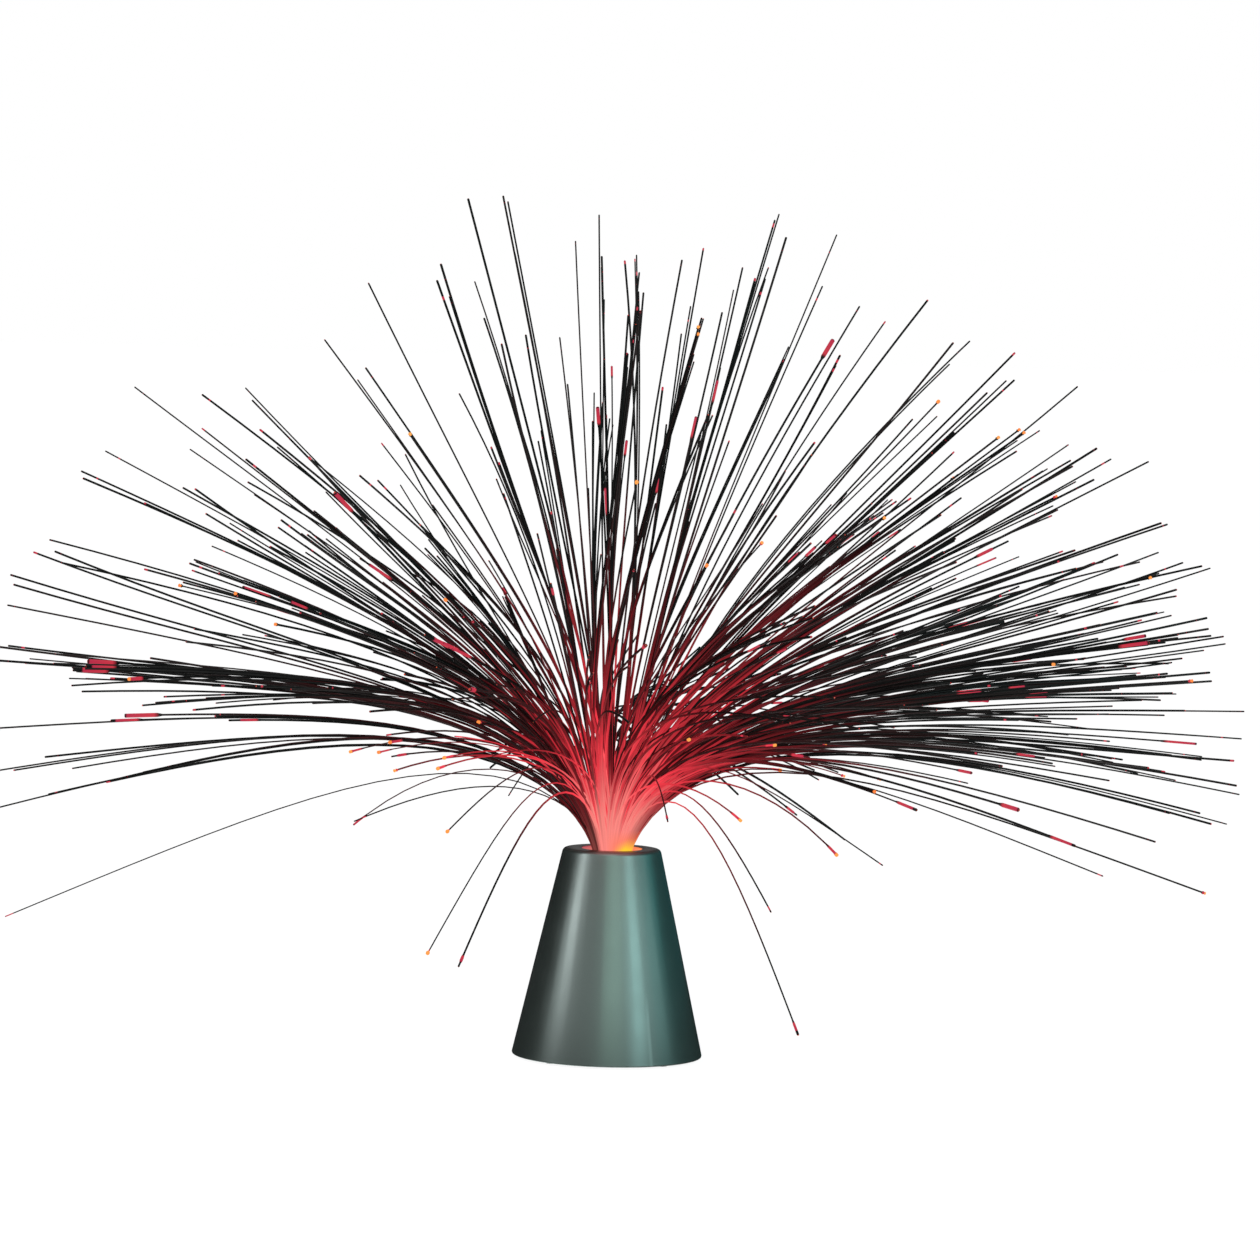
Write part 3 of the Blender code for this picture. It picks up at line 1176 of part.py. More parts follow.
def lead(name, start, end, end_rise, shares):
    """One lead, straight out of both its ends, through its hand-chosen points."""
    start, end = Vector(start), Vector(end)
    points = [start, start + LEAD_RISE * UP]
    for x_share, y_share, z_share in shares:
        z = z_share * BASE_TOP_Z
        points.append(Vector((x_share * inner_radius(z), y_share * inner_radius(z), z)))
    points += [end + end_rise * UP, end]
    return tube(name, smooth_route(points, LEAD_POINT_PITCH), LEAD_RADIUS, "wire_red", 2)


def leads():
    positive_tab = (TAB_X, -CELL_PITCH, TAB_LEAD_Z)
    negative_tab = (-TAB_X, CELL_PITCH, TAB_LEAD_Z)
    left_terminal = (-TERMINAL_X, SWITCH_Y, SWITCH_TERMINAL_Z)
    right_terminal = (TERMINAL_X, SWITCH_Y, SWITCH_TERMINAL_Z)
    right_pad = (BOARD_LEAD_X, BOARD_LEAD_Y, BOARD_LEAD_Z)
    left_pad = (-BOARD_LEAD_X, -BOARD_LEAD_Y, BOARD_LEAD_Z)
    lead("lead_battery_to_switch", positive_tab, left_terminal, LEAD_RISE, BATTERY_TO_SWITCH_SHARES)
    lead("lead_switch_to_board", right_terminal, right_pad, -LEAD_RISE, SWITCH_TO_BOARD_SHARES)
    lead("lead_battery_to_board", negative_tab, left_pad, -LEAD_RISE, BATTERY_TO_BOARD_SHARES)


def build():
    base_shell()
    base_plate()
    battery_door()
    screw("battery_door_screw", (DOOR_SCREW_X, 0), PLATE_BOTTOM_Z, DOOR_SCREW_HEAD_RADIUS,
          DOOR_SCREW_HEAD_HEIGHT, DOOR_SCREW_RADIUS, DOOR_SCREW_LENGTH)
    feet()
    base_screws()
    for index in range(CELL_COUNT):
        battery_cell(index)
        battery_spring(index)
    contacts()
    switch_body()
    switch_slider()
    switch_screws()
    light_holder()
    holder_screws()
    led_board()
    leds()
    driver_chip()
    fibre_ferrule()
    glow_collar()
    leads()
    for name, sector, routes in spray():
        fibre_bunch(name, sector, routes)


build()
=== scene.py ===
import json
import math
import random

import bmesh
import bpy
from bpy.props import BoolProperty, FloatProperty, FloatVectorProperty, IntProperty, PointerProperty
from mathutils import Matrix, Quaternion, Vector, noise

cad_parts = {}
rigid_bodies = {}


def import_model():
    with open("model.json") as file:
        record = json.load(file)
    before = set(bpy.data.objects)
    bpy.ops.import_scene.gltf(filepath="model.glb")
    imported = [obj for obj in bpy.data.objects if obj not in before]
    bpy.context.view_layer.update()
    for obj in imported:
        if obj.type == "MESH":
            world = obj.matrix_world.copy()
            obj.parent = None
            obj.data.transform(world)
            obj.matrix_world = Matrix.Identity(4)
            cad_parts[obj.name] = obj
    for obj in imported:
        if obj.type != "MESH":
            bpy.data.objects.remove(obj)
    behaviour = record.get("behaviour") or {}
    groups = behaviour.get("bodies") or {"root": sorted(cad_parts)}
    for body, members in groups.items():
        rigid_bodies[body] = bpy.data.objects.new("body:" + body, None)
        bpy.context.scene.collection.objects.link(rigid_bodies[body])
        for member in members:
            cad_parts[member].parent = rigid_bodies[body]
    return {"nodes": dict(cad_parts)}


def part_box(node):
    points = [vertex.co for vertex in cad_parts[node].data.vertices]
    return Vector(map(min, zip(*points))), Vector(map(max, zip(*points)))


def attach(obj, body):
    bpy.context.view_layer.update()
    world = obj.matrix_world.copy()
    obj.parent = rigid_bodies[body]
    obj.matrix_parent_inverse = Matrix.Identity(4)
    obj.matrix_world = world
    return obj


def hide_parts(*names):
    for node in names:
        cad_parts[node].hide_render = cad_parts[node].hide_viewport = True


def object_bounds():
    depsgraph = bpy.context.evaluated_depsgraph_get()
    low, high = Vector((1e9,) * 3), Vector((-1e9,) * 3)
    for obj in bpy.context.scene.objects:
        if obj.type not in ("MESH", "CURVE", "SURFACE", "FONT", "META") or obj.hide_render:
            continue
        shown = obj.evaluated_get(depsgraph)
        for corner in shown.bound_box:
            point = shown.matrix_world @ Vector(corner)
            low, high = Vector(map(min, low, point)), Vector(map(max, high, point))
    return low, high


bl_info = {
    "name": "Fibre Lamp",
    "version": (1, 0, 0),
    "blender": (4, 5, 0),
    "location": "3D View > Sidebar > Fibre Lamp",
    "description": "Builds the looks of a small lamp with a spray of light fibres round its CAD frame",
    "category": "Object",
}

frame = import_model()
CAD_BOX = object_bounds()

MM = 0.001
UP = Vector((0, 0, 1))
FULL_TURN = 2 * math.pi
WELD = 0.001 * MM
PHOTO_SIZE = 1260

BASE_TOP_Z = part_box("base_shell")[1].z
MOUTH_RADIUS = 11.8 * MM
MOUTH_MARGIN = 0.25 * MM
LIT_MOUTH_DEPTH = 6 * MM

# The spray, by the same rules and numbers as its solids

BUNDLE_RADIUS = 7.0 * MM
ROOT_DEPTH = 3.9 * MM
ROOT_BOTTOM_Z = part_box("fibre_bunch_centre")[0].z
ROOT_TOP_Z = BASE_TOP_Z - ROOT_DEPTH
LONGEST_FIBRE = 270 * MM
WIDEST_FIBRE = 1 * MM
SHORTEST_SHARE = 0.64
SHORTNESS_POWER = 2.2
BEND_LENGTH = 36 * MM
START_LEAN_DEGREES = 15
DROOP_DEGREES = 27
LEAN_SPAN_DEGREES = 34
NEAR_SHARE = 0.45
FAR_SHARE = 0.95
ROUTE_STEP = 2 * MM
SPRAY_SEED = 11
JITTER_SHARE = 0.10
CELL_MARGIN = 0.41 * MM
SLICE_GAP = 0.3 * MM
SLICE_COUNT = 19
CENTRE_RADIUS = BUNDLE_RADIUS * math.sqrt(1 / SLICE_COUNT)
MIDDLE_RADIUS = BUNDLE_RADIUS * math.sqrt(7 / SLICE_COUNT)
ROW_COUNTS = (3, 4, 4, 5)
UPRIGHT_RING_SHARES = (0.28, 0.73)
UPRIGHT_RING_COUNTS = (3, 9)
UPRIGHT_RING_DEGREES = (4, 11)
# Lean and azimuth of each bunch, in degrees
INNER_BUNCHES = ((44, 0), (21, 49), (23, 93), (42, 191), (34, 236), (40, 315))
OUTER_BUNCHES = (
    (64, 2), (61, 25), (54, 49), (71, 71), (73, 93), (58, 120),
    (65, 191), (52, 242), (51, 267), (51, 296), (64, 318), (61, 340),
)

# What the scene adds to the spray

COMPANION_OFFSET = 0.45 * MM
LIFT_DROOP_SHARE = 1.6
WAYWARD_CHANCE = 0.06
WAYWARD_SPLAY = 3
STRAY_ROOT_SHARE = 0.8
# Loose fibres that stand between those of the solids: lean and azimuth in degrees for each slice
INNER_LOOSE = ((60, -1), (28, 72), (41, 96), (60, 212), (59, 221), (42, 333))
OUTER_LOOSE = (
    (69, 24), (68, 17), (66, 27), (72, 79), (68, 75), (58, 104),
    (68, 193), (57, 230), (38, 281), (46, 300), (46, 330), (61, 337),
)
# Stray fibres at the front and sides: slice, lean, azimuth, share of the longest, azimuth of the root
STRAYS = (
    ("outer_11", 98, 287, 0.82, 309), ("outer_11", 88, 286, 0.70, 306), ("outer_11", 74, 291, 0.98, 302),
    ("outer_11", 78, 273, 0.62, 296), ("outer_09", 84, 257, 0.93, 235), ("outer_09", 91, 257, 0.80, 239),
    ("outer_08", 92, 207, 0.45, 208), ("outer_09", 76, 256, 0.77, 231), ("outer_07", 85, 200, 0.97, 188),
    ("outer_12", 76, 314, 0.97, 332), ("outer_12", 79, 334, 0.97, 342),
)
# The short arcs over the front: the spans that each one's numbers are drawn from, angles in degrees
ARC_SLICES = (200, 340)
ARC_ROOT_TURN = 13
ARC_ROOT_SHARES = (0.68, 0.93)
ARC_SIDEWAYS = (15, 60)
ARC_SIDE_BLUR = 20
ARC_HEADINGS = (195, 345)
ARC_LENGTH_SHARES = (0.28, 0.48)
ARC_LEANS = (36, 56)
ARC_DROOPS = (75, 125)
FRONT_AZIMUTH = 270

# How fibres are formed and lit

BODY_SLOT, END_SLOT, POTTING_SLOT = range(3)
RING_CROWDING = 1.5
LIT_STEP = 1 * MM
END_SHARE = 0.6
END_EDGE_ANGLE = math.radians(50)
NECK_LENGTH = 40 * MM
WARM_LENGTH = 13 * MM
SHORTEST_SWOLLEN = 4 * MM
BEAD_RADIUS = 0.72 * MM
# Above this spark a fibre's end shines and has a bead.
SHINING = 0.6
SPARK_CHANCE = 0.07
SPARK_FACING = 0.35
LOW_TIP_HEIGHT = 50 * MM
FRONT_SPARK_CHANCE = 0.45
FRONT_LIT_SWELL = 1.6
# One band on the right glows further than the rest: its turn from upright, in degrees.
FAR_BAND = (37, 46)
FAR_BAND_CHANCE = 0.7

# The stage: its sizes in metres, and how many sides its round pieces have

FLOOR_RADIUS = 900
FLOOR_SIDES = 64
FLAG_RADIUS = 0.9
FLAG_TOP = 1.3
FLAG_SIDES = 24


# Properties


class FIBRELAMP_PG_spray(bpy.types.PropertyGroup):
    strand_radius: FloatProperty(
        name="Strand radius", description="Radius of a fibre beyond its root",
        default=0.38 * MM, min=0.1 * MM, max=1 * MM, unit="LENGTH", precision=5)
    root_radius: FloatProperty(
        name="Root radius", description="Radius of a fibre where it leaves the bundle",
        default=0.23 * MM, min=0.1 * MM, max=1 * MM, unit="LENGTH", precision=5)
    swell_length: FloatProperty(
        name="Swell length", description="Length over which a fibre grows to its full radius",
        default=14 * MM, min=1 * MM, max=60 * MM, unit="LENGTH")
    strand_sides: IntProperty(
        name="Strand sides", description="Sides of a fibre's section", default=6, min=3, max=16)
    strand_rings: IntProperty(
        name="Strand rings", description="Rings along a fibre, closer together near its root",
        default=22, min=6, max=80)
    loose_fibres: BoolProperty(
        name="Loose fibres", description="Add the fibres that stand in wisps between those of the solids",
        default=True)
    loose_shortest: FloatProperty(
        name="Shortest loose fibre", description="Shortest loose fibre, as a share of the longest of all",
        default=0.55, min=0.1, max=1, subtype="FACTOR")
    loose_longest: FloatProperty(
        name="Longest loose fibre", description="Longest loose fibre, as a share of the longest of all",
        default=0.98, min=0.1, max=1, subtype="FACTOR")
    loose_gather: FloatProperty(
        name="Gathering", description="Spread of the loose fibres round the middle of their bunch",
        default=0.6, min=0, max=1, subtype="FACTOR")
    lift_degrees: FloatProperty(
        name="Lift", description="Degrees by which loose fibres start steeper, and then droop more",
        default=9, min=0, max=30)
    touch_distance: FloatProperty(
        name="Touching distance", description="Distance between the middles of leaning fibres",
        default=0.75 * MM, min=0.1 * MM, max=5 * MM, unit="LENGTH", precision=5)
    splay_distance: FloatProperty(
        name="Splay", description="How far fibres that lean on each other part by their ends",
        default=20 * MM, min=0, max=40 * MM, unit="LENGTH")
    front_arcs: IntProperty(
        name="Front arcs", description="Short bright fibres of each slice that arch over the front",
        default=5, min=0, max=12)
    companion_share: FloatProperty(
        name="Companions", description="Share of the solids' fibres with another fibre leaning on them",
        default=0.4, min=0, max=1, subtype="FACTOR")
    body_colour: FloatVectorProperty(
        name="Fibre colour", description="Colour of an unlit fibre",
        default=(0.0085, 0.009, 0.0085), min=0, max=1, size=3, subtype="COLOR")
    neck_colour: FloatVectorProperty(
        name="Neck colour", description="Light of the fibres where they leave the bundle",
        default=(1.0, 0.26, 0.23), min=0, max=1, size=3, subtype="COLOR")
    warm_colour: FloatVectorProperty(
        name="Warm neck colour", description="Light of the fibres over the warm lamp",
        default=(1.0, 0.74, 0.03), min=0, max=1, size=3, subtype="COLOR")
    glow_colour: FloatVectorProperty(
        name="Glow colour", description="Light of the fibres above the neck",
        default=(1.0, 0.046, 0.07), min=0, max=1, size=3, subtype="COLOR")
    ember_colour: FloatVectorProperty(
        name="Ember colour", description="Light of the fibres where the glow fades",
        default=(0.15, 0.004, 0.010), min=0, max=1, size=3, subtype="COLOR")
    glow_reach: FloatProperty(
        name="Glow reach", description="Distance from the bundle at which the glow has faded",
        default=124 * MM, min=5 * MM, max=270 * MM, unit="LENGTH")
    patch_size: FloatProperty(
        name="Patch size", description="Size of the patches in which fibres are lit near their ends",
        default=26 * MM, min=5 * MM, max=200 * MM, unit="LENGTH")
    patch_threshold: FloatProperty(
        name="Patch threshold", description="How rare those patches are", default=0.24, min=-1, max=1)
    tip_colour: FloatVectorProperty(
        name="Tip colour", description="Light of the stretch near a fibre's end",
        default=(0.85, 0.05, 0.085), min=0, max=1, size=3, subtype="COLOR")
    end_colour: FloatVectorProperty(
        name="End colour", description="Light of a fibre's end face",
        default=(1.0, 0.2, 0.035), min=0, max=1, size=3, subtype="COLOR")


class FIBRELAMP_PG_base(bpy.types.PropertyGroup):
    paint_colour: FloatVectorProperty(
        name="Paint colour", description="Colour of the satin silver paint",
        default=(0.285, 0.355, 0.335), min=0, max=1, size=3, subtype="COLOR")
    paint_roughness: FloatProperty(
        name="Paint roughness", description="How soft the reflections in the paint are",
        default=0.32, min=0, max=1, subtype="FACTOR")
    edge_degrees: FloatProperty(
        name="Edge angle", description="Edges sharper than this stay crisp",
        default=math.radians(32), min=0, max=math.pi, subtype="ANGLE")
    mouth_colour: FloatVectorProperty(
        name="Mouth colour", description="The bundle's light on the mouth's wall, on its cool side",
        default=(0.42, 0.06, 0.08), min=0, max=1, size=3, subtype="COLOR")
    mouth_warm_colour: FloatVectorProperty(
        name="Warm mouth colour", description="The bundle's light on the mouth's wall, over the warm lamp",
        default=(0.85, 0.2, 0.07), min=0, max=1, size=3, subtype="COLOR")
    collar_colour: FloatVectorProperty(
        name="Collar colour", description="Light of the ring in the mouth, on its cool side",
        default=(0.9, 0.04, 0.06), min=0, max=1, size=3, subtype="COLOR")
    collar_warm_colour: FloatVectorProperty(
        name="Warm collar colour", description="Light of the ring in the mouth, over the warm lamp",
        default=(1.0, 0.22, 0.02), min=0, max=1, size=3, subtype="COLOR")


class FIBRELAMP_PG_underside(bpy.types.PropertyGroup):
    plate_colour: FloatVectorProperty(
        name="Plate colour", description="Colour of the moulded plate, door and switch knob",
        default=(0.034, 0.035, 0.038), min=0, max=1, size=3, subtype="COLOR")
    rubber_colour: FloatVectorProperty(
        name="Rubber colour", description="Colour of the feet",
        default=(0.012, 0.012, 0.012), min=0, max=1, size=3, subtype="COLOR")
    screw_colour: FloatVectorProperty(
        name="Screw colour", description="Colour of the plated screws",
        default=(0.56, 0.56, 0.54), min=0, max=1, size=3, subtype="COLOR")


class FIBRELAMP_PG_inside(bpy.types.PropertyGroup):
    jacket_colour: FloatVectorProperty(
        name="Jacket colour", description="Colour of the cells' plastic jackets",
        default=(0.03, 0.10, 0.16), min=0, max=1, size=3, subtype="COLOR")
    band_colour: FloatVectorProperty(
        name="Band colour", description="Colour of the band on the cells' jackets",
        default=(0.52, 0.30, 0.10), min=0, max=1, size=3, subtype="COLOR")
    contact_colour: FloatVectorProperty(
        name="Contact colour", description="Colour of the plated springs and contacts",
        default=(0.66, 0.63, 0.57), min=0, max=1, size=3, subtype="COLOR")
    holder_colour: FloatVectorProperty(
        name="Holder colour", description="Colour of the white moulded light holder",
        default=(0.74, 0.73, 0.69), min=0, max=1, size=3, subtype="COLOR")
    board_colour: FloatVectorProperty(
        name="Board colour", description="Colour of the board's lacquer",
        default=(0.015, 0.12, 0.045), min=0, max=1, size=3, subtype="COLOR")
    lead_colour: FloatVectorProperty(
        name="Lead colour", description="Colour of the leads' insulation",
        default=(0.42, 0.02, 0.02), min=0, max=1, size=3, subtype="COLOR")


class FIBRELAMP_PG_stage(bpy.types.PropertyGroup):
    view_elevation: FloatProperty(
        name="View elevation", description="Height of the camera above the base's mouth, as an angle",
        default=math.radians(5.6), min=0, max=math.pi / 2, subtype="ANGLE")
    view_distance: FloatProperty(
        name="View distance", description="Distance of the camera from the mouth of the base",
        default=2.0, min=0.5, max=10, unit="LENGTH")
    view_roll: FloatProperty(
        name="View roll", description="Roll of the camera about its own axis",
        default=math.radians(1.5), min=-math.pi, max=math.pi, subtype="ANGLE")
    lens: FloatProperty(
        name="Lens", description="Focal length of the camera in millimetres",
        default=143.5, min=20, max=400, subtype="DISTANCE_CAMERA")
    mouth_x: FloatProperty(
        name="Mouth across", description="Place of the mouth in the picture, in pixels from the left",
        default=612, min=0, max=PHOTO_SIZE)
    mouth_y: FloatProperty(
        name="Mouth down", description="Place of the mouth in the picture, in pixels from the top",
        default=848, min=0, max=PHOTO_SIZE)
    sky_strength: FloatProperty(
        name="Sky strength", description="Light of the surroundings on the object",
        default=0.34, min=0, max=2)
    floor_colour: FloatVectorProperty(
        name="Floor colour", description="Colour of the floor",
        default=(0.9, 0.9, 0.9), min=0, max=1, size=3, subtype="COLOR")


# Making materials


class Finish:
    """A material with one main shader and short ways to add and join its nodes."""

    def __init__(self, name, colour, roughness, metallic=0.0, **sockets):
        self.material = bpy.data.materials.new(name)
        self.material.use_nodes = True
        self.nodes = self.material.node_tree.nodes
        self.links = self.material.node_tree.links
        self.shader = self.nodes["Principled BSDF"]
        self.feed(self.shader.inputs["Base Color"], colour)
        self.feed(self.shader.inputs["Roughness"], roughness)
        self.feed(self.shader.inputs["Metallic"], metallic)
        for socket, value in sockets.items():
            self.feed(self.shader.inputs[socket.replace("_", " ")], value)
        self.place = self.add("TexCoord").outputs["Object"]

    def feed(self, socket, value):
        if isinstance(value, bpy.types.NodeSocket):
            self.links.new(value, socket)
        elif socket.type == "RGBA":
            socket.default_value = (*value[:3], 1)
        else:
            socket.default_value = value

    def add(self, kind, inputs=None, **settings):
        node = self.nodes.new("ShaderNode" + kind)
        for name, value in settings.items():
            setattr(node, name, value)
        for key, value in (inputs or {}).items():
            self.feed(node.inputs[key], value)
        return node

    def number(self, operation, *values, clamp=False):
        node = self.add("Math", dict(enumerate(values)), operation=operation, use_clamp=clamp)
        return node.outputs[0]

    def attribute(self, name):
        return self.add("Attribute", attribute_name=name).outputs["Fac"]

    def stretched(self, scale):
        return self.add("Mapping", {"Vector": self.place, "Scale": scale}).outputs["Vector"]

    def noise(self, scale, detail=3.0, rough=0.5, place=None):
        inputs = {"Vector": place or self.place, "Scale": scale, "Detail": detail, "Roughness": rough}
        return self.add("TexNoise", inputs).outputs["Fac"]

    def ramp(self, factor, stops):
        node = self.add("ValToRGB", {"Fac": factor})
        elements = node.color_ramp.elements
        while len(elements) < len(stops):
            elements.new(1)
        for element, (position, colour) in zip(elements, stops):
            element.position = position
            element.color = (*colour, 1) if isinstance(colour, tuple) else (colour, colour, colour, 1)
        return node.outputs["Color"]

    def mix(self, factor, first, second, kind="MIX"):
        node = self.add("Mix", data_type="RGBA", blend_type=kind)
        self.feed(node.inputs[0], factor)
        self.feed(node.inputs[6], first)
        self.feed(node.inputs[7], second)
        return node.outputs[2]

    def spread(self, factor, low, high):
        """factor from 0 to 1, mapped to the span from low to high."""
        node = self.add("MapRange", {"Value": factor, "To Min": low, "To Max": high})
        return node.outputs["Result"]

    def bump(self, height, depth, strength=1.0):
        inputs = {"Height": height, "Distance": depth, "Strength": strength}
        node = self.add("Bump", inputs)
        linked = self.shader.inputs["Normal"].links
        if linked:
            self.links.new(linked[0].from_socket, node.inputs["Normal"])
        self.links.new(node.outputs["Normal"], self.shader.inputs["Normal"])

    def set(self, socket, value):
        self.feed(self.shader.inputs[socket], value)

    def glow(self, light, strength=1.0):
        self.set("Emission Color", light)
        self.set("Emission Strength", strength)


def scaled(colour, share):
    return tuple(min(1.0, channel * share) for channel in colour)


def clamped(value, low=0, high=1):
    return max(low, min(high, value))


def moulded_plastic(name, colour, roughness=0.42, grain=900, depth=0.03 * MM):
    """Moulded plastic with a fine spark grain, slow flow shades and rubbed patches."""
    finish = Finish(name, colour, roughness)
    flow = finish.noise(45, 2, 0.6)
    finish.set("Base Color", finish.mix(flow, scaled(colour, 0.82), scaled(colour, 1.22)))
    rubbed = finish.noise(130, 4, 0.65)
    finish.set("Roughness", finish.spread(rubbed, roughness - 0.12, roughness + 0.12))
    finish.bump(finish.noise(grain, 3, 0.6), depth, 0.7)
    return finish.material


def plated_metal(name, colour, roughness=0.26, stretch=(1, 1, 1)):
    """Plated metal with faint drawing lines and dull spots."""
    finish = Finish(name, colour, roughness, 1.0)
    lines = finish.noise(700, 2, 0.5, finish.stretched(stretch))
    dull = finish.noise(260, 4, 0.7)
    finish.set("Base Color", finish.mix(dull, scaled(colour, 0.72), scaled(colour, 1.12)))
    finish.set("Roughness", finish.spread(dull, roughness - 0.08, roughness + 0.16))
    finish.bump(lines, 0.012 * MM, 0.6)
    return finish.material


def satin_silver(settings):
    """Sprayed metallic paint: fine flake, slow cloudiness and a rubbed foot, with painted highlights round
    the shoulder and along a mould seam, painted shade on the flat ring round the mouth, and the bundle's
    light painted on the mouth's wall.
    """
    colour = tuple(settings.paint_colour)
    finish = Finish("satin_silver_paint", colour, settings.paint_roughness, 0.9)
    flake = finish.noise(2600, 2, 0.7)
    cloud = finish.noise(28, 3, 0.55)
    tone = finish.mix(cloud, scaled(colour, 0.93), scaled(colour, 1.07))
    tone = finish.mix(finish.spread(flake, 0, 0.35), tone, scaled(colour, 1.35))
    sides = finish.add("SeparateXYZ", {"Vector": finish.place}).outputs
    height = sides["Z"]
    share = finish.number("DIVIDE", height, BASE_TOP_Z)
    # The paint is lighter at the foot's edge, where it is rubbed, and in a band round the shoulder, which
    # is partly rubbing and partly a painted highlight along the rim.
    ends = finish.ramp(share, ((0.0, 1.0), (0.035, 0.0), (0.955, 0.0), (0.985, 0.75), (1.0, 0.35)))
    rubbed = finish.number("MULTIPLY", ends, finish.noise(190, 5, 0.7))
    tone = finish.mix(finish.number("MULTIPLY", rubbed, 0.5), tone, scaled(colour, 1.6))
    # Near the foot, where the two halves of the mould met, a lighter streak is a painted highlight along
    # the seam.
    turn = finish.number("ARCTAN2", sides["X"], finish.number("MULTIPLY", sides["Y"], -1))
    aside = finish.number("ABSOLUTE", finish.number("SUBTRACT", turn, math.radians(28)))
    seam = finish.ramp(finish.number("DIVIDE", aside, math.radians(1.6)), ((0.25, 1.0), (1.0, 0.0)))
    low_down = finish.ramp(share, ((0.05, 1.0), (0.22, 0.8), (0.36, 0.0)))
    seam_highlight = finish.number("MULTIPLY", seam, low_down)
    tone = finish.mix(finish.number("MULTIPLY", seam_highlight, 0.55), tone, scaled(colour, 1.8))
    # The flat ring round the mouth gets painted shade, a dark and less metallic colour, and the bundle's
    # light on the mouth's wall is painted as a glow.
    shaded_flat_ring = finish.ramp(share, ((0.9955, 0.0), (0.998, 1.0)))
    finish.set("Base Color", finish.mix(shaded_flat_ring, tone, scaled(colour, 0.1)))
    finish.set("Metallic", finish.spread(shaded_flat_ring, 0.9, 0.2))
    squares = (finish.number("MULTIPLY", sides[axis], sides[axis]) for axis in "XY")
    out = finish.number("SQRT", finish.number("ADD", *squares))
    # Painted light: the mouth's wall glows red and orange, standing in for the bundle's light falling on
    # it.
    mouth = finish.number("MULTIPLY", finish.number("LESS_THAN", out, MOUTH_RADIUS + MOUTH_MARGIN),
                          finish.number("GREATER_THAN", height, BASE_TOP_Z - LIT_MOUTH_DEPTH))
    side = finish.ramp(finish.number("ADD", finish.number("DIVIDE", sides["X"], 2 * MOUTH_RADIUS), 0.5),
                       ((0.1, tuple(settings.mouth_colour)), (0.9, tuple(settings.mouth_warm_colour))))
    finish.glow(finish.mix(mouth, (0, 0, 0), side))
    gloss = settings.paint_roughness
    finish.set("Roughness", finish.spread(finish.noise(75, 4, 0.6), gloss - 0.05, gloss + 0.06))
    finish.bump(flake, 0.006 * MM, 0.5)
    finish.bump(finish.noise(240, 2, 0.5), 0.015 * MM, 0.35)
    return finish.material


def glowing_collar(settings):
    """Frosted ring lit from below: red on one side, orange over the warm lamp."""
    cool, warm = tuple(settings.collar_colour), tuple(settings.collar_warm_colour)
    finish = Finish("glowing_collar", scaled(cool, 0.5), 0.45)
    across = finish.add("SeparateXYZ", {"Vector": finish.place}).outputs["X"]
    side = finish.ramp(finish.spread(finish.number("DIVIDE", across, BUNDLE_RADIUS * 3.2), 0.5, 1.5),
                       ((0.35, 0.0), (0.72, 1.0)))
    cloudy = finish.noise(420, 3, 0.6)
    light = finish.mix(side, cool, warm)
    finish.glow(finish.mix(finish.spread(cloudy, 0.1, 0.5), light, scaled(cool, 0.45)))
    finish.bump(cloudy, 0.05 * MM, 0.5)
    return finish.material


